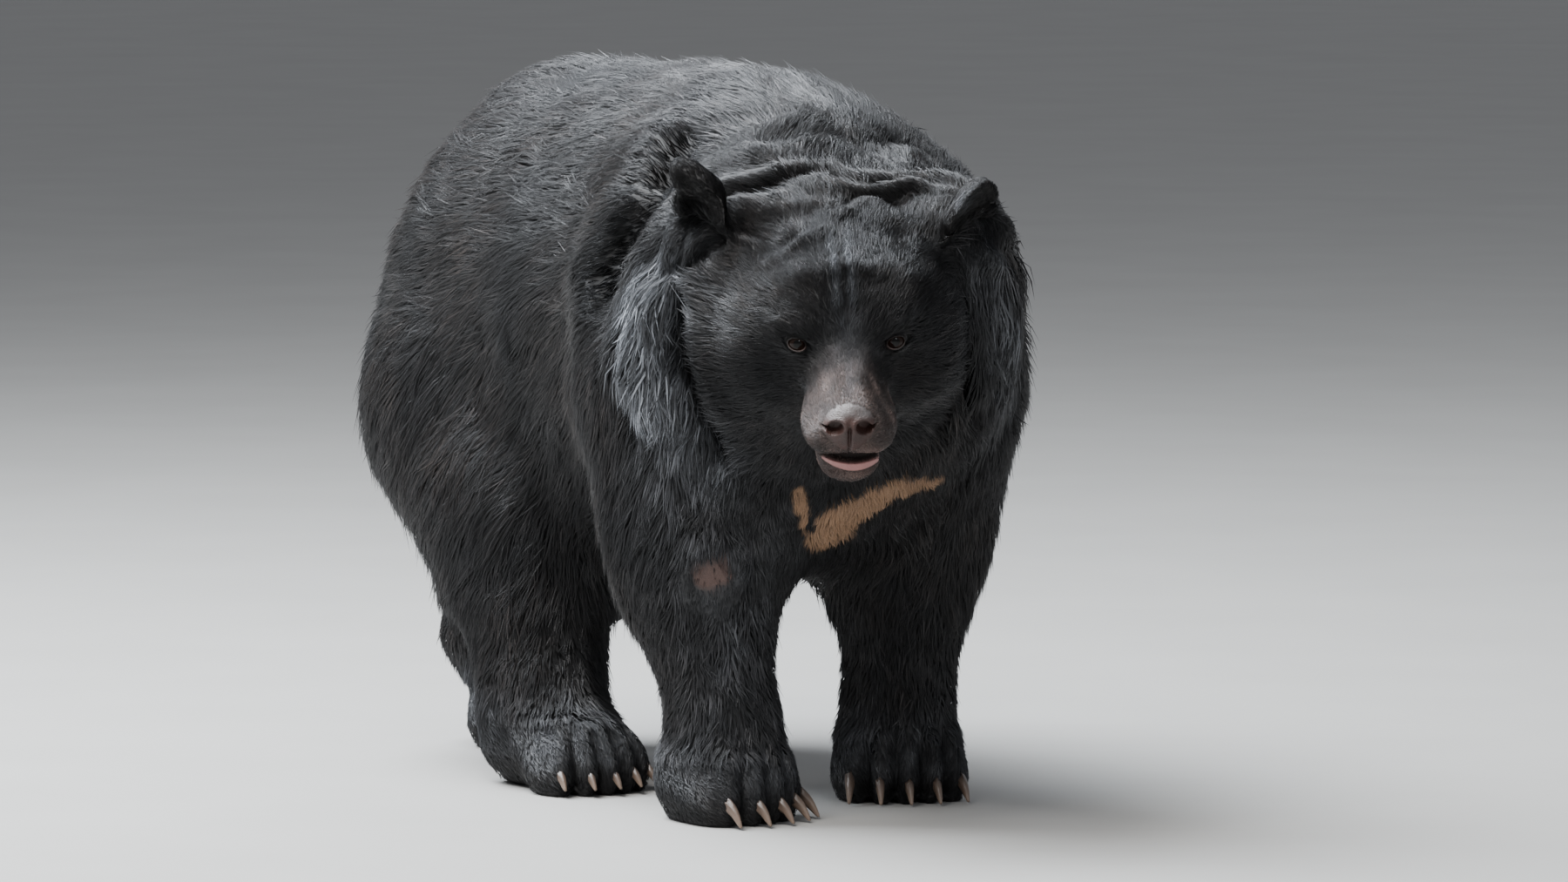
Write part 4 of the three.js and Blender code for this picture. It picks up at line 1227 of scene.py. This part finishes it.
def build_coat(skin_object, settings):
    skin = Skin(skin_object)
    rng = np.random.default_rng(7)
    wanted = (skin.sizes["dense"][skin.tris].mean(1) * skin.area).sum() * 1000
    share = settings.tufts * 1000 / wanted
    made = []
    for name, faces in skin.pieces.items():
        uv = unwrapped(skin.co, skin.tris[faces])
        root = sow(skin, faces, uv, share, rng)
        shape = LONG_TUFT if name.startswith(LONG_HAIRED) else SHORT_TUFT
        middles, normals = grow(skin, root, shape[0], settings, rng)
        made.append(tuft_mesh(name, root, middles, normals, shape, rng, settings))
        print(name, len(root["at"]), "tufts", len(made[-1].data.polygons), "faces")
    return made


# ---------------------------------------------------------------- materials

# Colours that no setting changes.
BROWN_TINGE = (0.012, 0.0095, 0.0083)
SKIN_BLACK = (0.004, 0.004, 0.005)
LID_RIM = (0.010, 0.006, 0.005)
MOUTH_DARK = (0.012, 0.006, 0.005)
EYE_EDGE = (0.012, 0.007, 0.005)
PUPIL = (0.0015, 0.0012, 0.001)
CLAW_WORN = (0.09, 0.07, 0.055)
FLOOR_TONES = ((0.30, 0.295, 0.285), (0.34, 0.335, 0.325))
SKY = (0.86, 0.89, 0.95)
SKY_STRENGTH = 0.42


class Nodes:
    """A material's or a group's nodes, added with their inputs in one call."""

    def __init__(self, tree):
        self.tree = tree

    def give(self, socket, value):
        """Links a socket to an output, or sets its value."""
        if isinstance(value, bpy.types.NodeSocket):
            self.tree.links.new(value, socket)
        else:
            socket.default_value = value

    def add(self, kind, inputs=None, **settings):
        node = self.tree.nodes.new(kind)
        for key, value in settings.items():
            setattr(node, key, value)
        for key, value in (inputs or {}).items():
            self.give(node.inputs[key], value)
        return node

    def mix(self, factor, a, b):
        node = self.add("ShaderNodeMix", data_type="RGBA")
        for place, value in ((0, factor), (6, a), (7, b)):
            is_plain = isinstance(value, (int, float, bpy.types.NodeSocket))
            self.give(node.inputs[place], value if is_plain else (*value, 1)[:4])
        return node.outputs[2]

    def math(self, operation, a, b=0.0, c=0.0, clamp=False):
        node = self.add("ShaderNodeMath", {0: a, 1: b, 2: c}, operation=operation, use_clamp=clamp)
        return node.outputs[0]

    def noise(self, place, scale, detail=2.0, roughness=0.5):
        inputs = {"Vector": place, "Scale": scale, "Detail": detail, "Roughness": roughness}
        return self.add("ShaderNodeTexNoise", inputs).outputs["Fac"]

    def bump(self, strength, distance, height):
        inputs = {"Strength": strength, "Distance": distance, "Height": height}
        return self.add("ShaderNodeBump", inputs).outputs[0]

    def vector(self, x, y):
        return self.add("ShaderNodeCombineXYZ", {"X": x, "Y": y, "Z": 0.0}).outputs[0]

    def attribute(self, name):
        node = self.add("ShaderNodeAttribute", attribute_name=name)
        parts = self.add("ShaderNodeSeparateColor", {"Color": node.outputs["Color"]})
        return (*parts.outputs, node.outputs["Alpha"])

    def place(self):
        return self.add("ShaderNodeTexCoord").outputs["Object"]


def material(name, **surface):
    made = bpy.data.materials.new(name)
    made.use_nodes = True
    shader = made.node_tree.nodes["Principled BSDF"]
    for key, value in surface.items():
        shader.inputs[key.replace("_", " ")].default_value = value
    return made, Nodes(made.node_tree), shader


# The inputs of the markings' group, and the setting that each takes its colour from.
MARKING_INPUTS = {
    "Black": "black",
    # grey hair, and the coat's painted sheen
    "Grey": "grey_and_sheen",
    "Cream": "cream",
    "Muzzle grey": "muzzle",
    "Bare skin": "bare",
}


def markings_group():
    """Puts the markings over the coat's black: crescent, muzzle, grey hair and painted sheen, bare elbow,
    brown tinge.
    """
    group = bpy.data.node_groups.new("markings over black", "ShaderNodeTree")
    face = group.interface
    for name in MARKING_INPUTS:
        face.new_socket(name, in_out="INPUT", socket_type="NodeSocketColor")
    face.new_socket("Color", in_out="OUTPUT", socket_type="NodeSocketColor")
    n = Nodes(group)
    given = n.add("NodeGroupInput").outputs
    crescent, muzzle, bare, grey_and_sheen = n.attribute("marks")
    brown = n.math("MULTIPLY_ADD", n.noise(n.place(), 7.0, 3.0), 2.0, -0.6, clamp=True)
    color = n.mix(brown, given["Black"], BROWN_TINGE)
    color = n.mix(muzzle, color, given["Muzzle grey"])
    # grey hair, and a painted sheen where light falls on the ruffs, the right shoulder, the right foreleg and
    # the back
    color = n.mix(grey_and_sheen, color, given["Grey"])
    color = n.mix(bare, color, given["Bare skin"])
    color = n.mix(crescent, color, given["Cream"])
    n.add("NodeGroupOutput", {"Color": color})
    return group


def marked(n, group, colours):
    """The markings over the coat's black, in the colours that were set."""
    over = n.add("ShaderNodeGroup", node_tree=group)
    for name, setting in MARKING_INPUTS.items():
        over.inputs[name].default_value = (*getattr(colours, setting), 1)
    return over.outputs[0]


def coat_material(colours, group):
    made, n, shader = material("black coat", Specular_IOR_Level=0.36, Specular_Tint=(0.96, 0.97, 1, 1))
    tone, along, across, painted_shade = n.attribute("tuft")
    # each tuft has a tone of its own, is darker at its root as painted shade among the tufts, and is lined by
    # the hairs in it
    light = n.math("MULTIPLY_ADD", n.math("POWER", tone, 3.0), 3.4, 0.3)
    crescent = n.attribute("marks")[0]
    even = n.math("MULTIPLY_ADD", tone, 0.4, 0.7)
    light = n.math("MULTIPLY_ADD", n.math("SUBTRACT", even, light), crescent, light)
    light = n.math("MULTIPLY", light, n.math("MULTIPLY_ADD", along, 0.75, 0.5))
    fine = n.noise(n.place(), 900.0, 1.0)
    strands = n.vector(across, n.math("MULTIPLY", tone, 7.0))
    wave = {"Vector": strands, "Scale": 1.6, "Distortion": 1.5, "Detail": 1.0}
    hairs = n.add("ShaderNodeTexWave", wave, bands_direction="X").outputs["Fac"]
    light = n.math("MULTIPLY", light, n.math("MULTIPLY_ADD", hairs, 0.5, 0.7))
    light = n.math("MULTIPLY", light, n.math("MULTIPLY_ADD", fine, 0.4, 0.8))
    # painted shade: the coat's colour is darker in creases and other shaded places
    light = n.math("MULTIPLY", light, n.math("MULTIPLY_ADD", painted_shade, -0.75, 1.0))
    color = n.add("ShaderNodeVectorMath", {0: marked(n, group, colours), "Scale": light}, operation="SCALE")
    n.give(shader.inputs["Base Color"], color.outputs[0])
    # painted shade: creases and other shaded places turn metallic over the near-black colour, so that they
    # throw back little light
    n.give(shader.inputs["Metallic"], n.math("MULTIPLY", painted_shade, 0.95))
    rough = n.math("MULTIPLY_ADD", tone, -0.26, 0.56)
    n.give(shader.inputs["Roughness"], n.math("MULTIPLY_ADD", painted_shade, -0.15, rough))
    n.give(shader.inputs["Normal"], n.bump(0.5, 0.0006, hairs))
    return made


def skin_material(colours, group):
    made, n, shader = material("skin and short hair", Specular_IOR_Level=0.45)
    place = n.place()
    pad, lip, rim, mouth = n.attribute("wet")
    coarse = n.noise(place, 60.0, 4.0, 0.6)
    fine = n.noise(place, 420.0, 3.0, 0.65)
    pores = n.add("ShaderNodeTexVoronoi", {"Vector": place, "Scale": 620.0}).outputs["Distance"]
    nose = n.mix(coarse, colours.nose_dark, colours.nose_light)
    color = n.mix(n.math("MULTIPLY", fine, 0.5), marked(n, group, colours), SKIN_BLACK)
    color = n.mix(pad, color, nose)
    color = n.mix(lip, color, n.mix(fine, colours.lip, colours.lip_dark))
    pink, pale, _, _ = n.attribute("fine")
    color = n.mix(n.math("MULTIPLY", pale, 0.75), color, colours.nose_rim)
    color = n.mix(n.math("MULTIPLY", rim, 0.85), color, LID_RIM)
    color = n.mix(pink, color, colours.lid)
    color = n.mix(mouth, color, MOUTH_DARK)
    n.give(shader.inputs["Base Color"], color)
    wet = n.math("MAXIMUM", n.math("MAXIMUM", pad, lip), rim)
    n.give(shader.inputs["Roughness"], n.math("MULTIPLY_ADD", wet, -0.2, 0.68))
    height = n.math("MULTIPLY_ADD", pores, n.math("MULTIPLY", pad, 0.9), n.math("MULTIPLY", fine, 0.8))
    n.give(shader.inputs["Normal"], n.bump(0.55, 0.0012, height))
    return made


def eye_material(colours):
    """Iris and pupil by how far the ball's surface is from the gaze, under a wet coat."""
    wet = dict(Coat_Weight=0.35, Coat_Roughness=0.015)
    made, n, shader = material("eye", Roughness=0.4, Specular_IOR_Level=0.03, **wet)
    off, streak, _, _ = n.attribute("gaze")
    rays = n.noise(n.vector(n.math("MULTIPLY", streak, 34.0), n.math("MULTIPLY", off, 3.0)), 1.0, 3.0)
    iris = n.mix(rays, colours.iris_dark, colours.iris)
    ball = n.mix(n.math("MULTIPLY_ADD", off, 6.0, -5.0, clamp=True), iris, EYE_EDGE)
    pupil = n.math("MULTIPLY_ADD", off, -26.0, 9.6, clamp=True)
    n.give(shader.inputs["Base Color"], n.mix(pupil, ball, PUPIL))
    return made


def claw_material(colours):
    """Worn horn: lighter towards the tip, streaked along its length."""
    made, n, shader = material("claw horn", Roughness=0.38, Specular_IOR_Level=0.5)
    place = n.place()
    out, _, _, _ = n.attribute("reach")
    streaks = n.noise(place, 260.0, 4.0, 0.7)
    blotches = n.noise(place, 55.0, 3.0)
    color = n.mix(n.math("MULTIPLY_ADD", out, 1.3, -0.15, clamp=True), colours.claw_root, colours.claw)
    color = n.mix(n.math("MULTIPLY", streaks, 0.55), color, colours.claw_root)
    color = n.mix(n.math("MULTIPLY_ADD", blotches, 2.0, -1.1, clamp=True), color, CLAW_WORN)
    n.give(shader.inputs["Base Color"], color)
    n.give(shader.inputs["Normal"], n.bump(0.4, 0.0008, streaks))
    return made


# ---------------------------------------------------------------- eyes and claws


def build_eye(side_name, settings):
    """A ball with a swollen clear front, turned to look where the head points."""
    centre = Vector(EYES[side_name])
    gaze = Vector(unit(FORWARD + LEFT * settings.gaze_out * SIDES[side_name] + UP * settings.gaze_up))
    bpy.ops.object.select_all(action="DESELECT")
    bpy.ops.mesh.primitive_uv_sphere_add(segments=48, ring_count=32, radius=EYE_RADIUS)
    eye = bpy.context.view_layer.objects.active
    eye.name = "eyeball_" + side_name
    mesh = eye.data
    turn = gaze.to_track_quat("Z", "Y").to_matrix()
    co = coordinates(mesh)
    off = np.arccos(np.clip(co[:, 2] / EYE_RADIUS, -1, 1)) / math.pi * 3
    swell = 1 + settings.cornea * rise(off, 0.85, 0.3)
    co = co * swell[:, None]
    angle = np.arctan2(co[:, 1], co[:, 0]) / (2 * math.pi)
    put_attribute(mesh, "gaze", np.stack([off, np.abs(angle) * 2, np.zeros(len(co)), np.ones(len(co))], 1))
    move_vertices(mesh, co @ np.array(turn).T + np.array(centre))
    mesh.shade_smooth()
    return eye


def build_claws(foot):
    """The claws of one foot, rounded from their solids."""
    nodes = CLAWED[foot]
    claws = copy_of(nodes, "claws_" + foot)
    apply_modifier(claws, "Keep the girth", "DISPLACE", strength=0.0021, mid_level=0)
    apply_modifier(claws, "Round", "SUBSURF", levels=2, render_levels=2)
    mesh = claws.data
    co = coordinates(mesh)
    boxes = [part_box(n) for n in nodes]
    tops = np.array([[(b[0].x + b[1].x) / 2, (b[0].y + b[1].y) / 2, b[1].z] for b in boxes])
    lows = np.array([b[0].z for b in boxes])
    nearest = np.argmin(((co[:, None, :2] - tops[:, :2]) ** 2).sum(-1), axis=1)
    reach = np.clip((tops[nearest, 2] - co[:, 2]) / (tops[nearest, 2] - lows[nearest]), 0, 1)
    put_attribute(mesh, "reach", np.stack([reach, reach, reach, np.ones(len(co))], 1))
    mesh.shade_smooth()
    return claws


# ---------------------------------------------------------------- settings that a user would change


def amount(name, description, default, low, high, **how):
    return FloatProperty(name=name, description=description, default=default, min=low, max=high, **how)


def share(name, description, default, low=0.0):
    return amount(name, description, default, low, 1.0, subtype="FACTOR")


def metres(name, description, default, low, high):
    return amount(name, description, default, low, high, subtype="DISTANCE", unit="LENGTH")


def degrees(name, description, *sizes):
    sizes = [math.radians(size) for size in sizes]
    return amount(name, description, *sizes, subtype="ANGLE", unit="ROTATION")


def colour(name, description, default):
    return FloatVectorProperty(
        name=name, description=description, default=default, size=3, min=0, max=1, subtype="COLOR"
    )


class BEAR_PG_skin(bpy.types.PropertyGroup):
    grain: metres("Grain", "Size of the skin's even faces", 0.006, 0.004, 0.02)
    body_share: share("Body share", "Share of faces kept under the long coat", 0.3, 0.05)


class BEAR_PG_coat(bpy.types.PropertyGroup):
    tufts: IntProperty(
        name="Tufts", description="How many thousand tufts the coat has", default=225, min=5, max=235
    )
    length: amount("Length", "Times the length of each part's hair", 1.0, 0.2, 2.0)
    width: amount("Width", "Times the width of each part's tufts", 1.0, 0.2, 3.0)
    stray: amount("Stray", "Times how far tufts turn from the coat's lie", 1.0, 0.0, 4.0)
    locks: amount("Locks", "How far neighbouring tufts lean together", 1.4, 0.0, 3.0)
    curl: amount("Curl", "How far tufts bend along their length", 0.13, 0.0, 1.0)
    sleek: share("Sleek", "How evenly light falls on neighbouring tufts", 0.7)
    loose: share("Loose", "Share of tufts that stand off the body", 0.06)


class BEAR_PG_eyes(bpy.types.PropertyGroup):
    cornea: amount("Cornea", "How far the clear front swells, in radii", 0.05, 0.0, 0.2)
    gaze_out: amount("Gaze out", "How far each eye looks to its own side", 0.08, 0.0, 0.6)
    gaze_up: amount("Gaze up", "How far the eyes look up from the head's way", 0.42, -1.0, 1.0)


class BEAR_PG_colours(bpy.types.PropertyGroup):
    black: colour("Black", "The coat's black", (0.0056, 0.0056, 0.0060))
    # this grey also paints a sheen on the ruffs, the right shoulder, the right foreleg and the back
    grey_and_sheen: colour("Grey", "Paler hair in the face and the ruff", (0.22, 0.235, 0.26))
    cream: colour("Cream", "The crescent on the chest", (0.36, 0.215, 0.125))
    muzzle: colour("Muzzle", "Short hair on the muzzle", (0.090, 0.064, 0.056))
    bare: colour("Bare skin", "Worn skin on the elbow", (0.095, 0.056, 0.046))
    nose_dark: colour("Nose, dark", "The nose pad's darker blotches", (0.006, 0.003, 0.0025))
    nose_light: colour("Nose, light", "The nose pad's lighter blotches", (0.060, 0.022, 0.016))
    nose_rim: colour("Nose rim", "The pale upper edge of the nose", (0.15, 0.145, 0.145))
    lip: colour("Lip", "The lower lip", (0.37, 0.175, 0.16))
    lip_dark: colour("Lip, dark", "Blotches on the lower lip", (0.26, 0.12, 0.11))
    lid: colour("Lid", "The lower lids' pink inner corners", (0.15, 0.10, 0.09))
    iris: colour("Iris", "The iris's brown", (0.014, 0.0065, 0.004))
    iris_dark: colour("Iris, dark", "The iris's dark streaks", (0.007, 0.0035, 0.0025))
    claw: colour("Claw", "The claws' worn ends", (0.22, 0.155, 0.115))
    claw_root: colour("Claw root", "The claws' darker roots", (0.055, 0.038, 0.030))


class BEAR_PG_stage(bpy.types.PropertyGroup):
    azimuth: degrees("Azimuth", "The camera's way round the bear from its front", -27, -360, 360)
    elevation: degrees("Elevation", "The camera's height as an angle", 4.74, -90, 90)
    distance: metres("Distance", "From the camera to the bear", 13.2, 2.0, 60.0)
    lens: amount("Lens", "Focal length on a 36 mm sensor", 242.9, 20.0, 600.0, unit="CAMERA")
    aim: FloatVectorProperty(
        name="Aim", description="What the camera looks at", default=(0.093, 0.0085, 0.43), size=3,
        subtype="TRANSLATION", unit="LENGTH",
    )


# ---------------------------------------------------------------- the stage

BEAR_MIDDLE = Vector((0, 0, 0.45))
# Each lamp's azimuth and elevation in degrees, its distance and size in metres, its power and its tint.
LAMPS = {
    "key": (-58, 52, 5.0, 2.4, 330, (1.0, 0.98, 0.95)),
    "fill": (-8, 22, 6.0, 0.9, 40, (0.95, 0.97, 1.0)),
    "top": (-135, 60, 4.6, 3.4, 1200, (0.9, 0.95, 1.0)),
    "rim": (150, 42, 5.5, 2.4, 40, (0.9, 0.95, 1.0)),
}


def away(azimuth, elevation):
    """The way from the bear to something this many degrees round it and above it."""
    a, e = math.radians(azimuth), math.radians(elevation)
    return Vector((math.sin(a) * math.cos(e), -math.cos(a) * math.cos(e), math.sin(e)))


def placed(scene, name, data, target, way, far):
    """Puts a lamp or a camera this far from its target, looking at it."""
    made = bpy.data.objects.new(name, data)
    scene.collection.objects.link(made)
    made.location = target + way * far
    made.rotation_euler = (-way).to_track_quat("-Z", "Y").to_euler()
    return made


def build_floor():
    bpy.ops.object.select_all(action="DESELECT")
    bpy.ops.mesh.primitive_plane_add(size=60, location=(0, 0, FLOOR - 0.0005))
    floor = bpy.context.view_layer.objects.active
    floor.name = "floor"
    made, n, shader = material("pale floor", Roughness=0.85)
    tone = n.mix(n.noise(n.place(), 3.0, 4.0), *FLOOR_TONES)
    n.give(shader.inputs["Base Color"], tone)
    floor.data.materials.append(made)


def build_lights(scene):
    world = bpy.data.worlds.new("studio")
    world.use_nodes = True
    sky = world.node_tree.nodes["Background"].inputs
    sky["Color"].default_value = (*SKY, 1)
    sky["Strength"].default_value = SKY_STRENGTH
    scene.world = world
    for name, (azimuth, elevation, far, size, power, tint) in LAMPS.items():
        lamp = bpy.data.lights.new(name, "AREA")
        lamp.size, lamp.energy, lamp.color = size, power, tint
        placed(scene, name, lamp, BEAR_MIDDLE, away(azimuth, elevation), far)


def build_camera(scene, stage):
    data = bpy.data.cameras.new("camera")
    data.lens, data.sensor_width, data.clip_end = stage.lens, 36, 100
    way = away(math.degrees(stage.azimuth), math.degrees(stage.elevation))
    scene.camera = placed(scene, "camera", data, Vector(stage.aim), way, stage.distance)


# ---------------------------------------------------------------- operators


def dress(piece, made, slot_name, *nodes):
    """Gives a finished piece its material and its body, and hides the solids that it stands for."""
    piece.data.materials.clear()
    piece.data.materials.append(made)
    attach(piece, "root")
    if nodes:
        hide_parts(*nodes)


class BEAR_OT_skin(bpy.types.Operator):
    """Makes the bear's one skin under its coat"""

    bl_idname = "bear.skin"
    bl_label = "Skin"

    def execute(self, context):
        scene = context.scene
        skin = build_skin(scene.bear_skin)
        group = markings_group()
        dress(skin, skin_material(scene.bear_colours, group), "black_fur", *FLESH)
        return {"FINISHED"}


class BEAR_OT_coat(bpy.types.Operator):
    """Grows the coat's tufts on the skin"""

    bl_idname = "bear.coat"
    bl_label = "Coat"

    def execute(self, context):
        scene = context.scene
        made = coat_material(scene.bear_colours, bpy.data.node_groups["markings over black"])
        for piece in build_coat(bpy.data.objects["skin"], scene.bear_coat):
            dress(piece, made, "muzzle_fur" if piece.name == "coat_muzzle" else "black_fur")
        return {"FINISHED"}


class BEAR_OT_eyes(bpy.types.Operator):
    """Makes the eyeballs"""

    bl_idname = "bear.eyes"
    bl_label = "Eyes"

    def execute(self, context):
        scene = context.scene
        made = eye_material(scene.bear_colours)
        for side_name in SIDES:
            dress(build_eye(side_name, scene.bear_eyes), made, "eye_surface", "eye_" + side_name)
        return {"FINISHED"}


class BEAR_OT_claws(bpy.types.Operator):
    """Rounds the claws of each foot"""

    bl_idname = "bear.claws"
    bl_label = "Claws"

    def execute(self, context):
        made = claw_material(context.scene.bear_colours)
        for foot in FEET:
            dress(build_claws(foot), made, "claw_horn", *CLAWED[foot])
        return {"FINISHED"}


class BEAR_OT_stage(bpy.types.Operator):
    """Sets a plain floor, soft light and the camera"""

    bl_idname = "bear.stage"
    bl_label = "Stage"

    def execute(self, context):
        scene = context.scene
        build_floor()
        build_lights(scene)
        build_camera(scene, scene.bear_stage)
        return {"FINISHED"}


OPERATORS = (BEAR_OT_stage, BEAR_OT_skin, BEAR_OT_coat, BEAR_OT_eyes, BEAR_OT_claws)


class BEAR_PT_panel(bpy.types.Panel):
    """Lists the bear's pieces and their sizes"""

    bl_idname = "BEAR_PT_panel"
    bl_label = "Bear"
    bl_space_type = "VIEW_3D"
    bl_region_type = "UI"
    bl_category = "Bear"

    def draw(self, context):
        for operator in OPERATORS:
            self.layout.operator(operator.bl_idname)
        for name, kind in SETTINGS.items():
            box = self.layout.box()
            for key in kind.__annotations__:
                box.prop(getattr(context.scene, name), key)


SETTINGS = {
    "bear_skin": BEAR_PG_skin,
    "bear_coat": BEAR_PG_coat,
    "bear_eyes": BEAR_PG_eyes,
    "bear_colours": BEAR_PG_colours,
    "bear_stage": BEAR_PG_stage,
}


def register():
    for kind in (*SETTINGS.values(), *OPERATORS, BEAR_PT_panel):
        bpy.utils.register_class(kind)
    for name, kind in SETTINGS.items():
        setattr(bpy.types.Scene, name, PointerProperty(type=kind))


def unregister():
    for name in SETTINGS:
        delattr(bpy.types.Scene, name)
    for kind in reversed((*SETTINGS.values(), *OPERATORS, BEAR_PT_panel)):
        bpy.utils.unregister_class(kind)


def main():
    register()
    bpy.ops.bear.stage()
    bpy.ops.bear.skin()
    bpy.ops.bear.coat()
    bpy.ops.bear.eyes()
    bpy.ops.bear.claws()


if __name__ == "__main__":
    main()
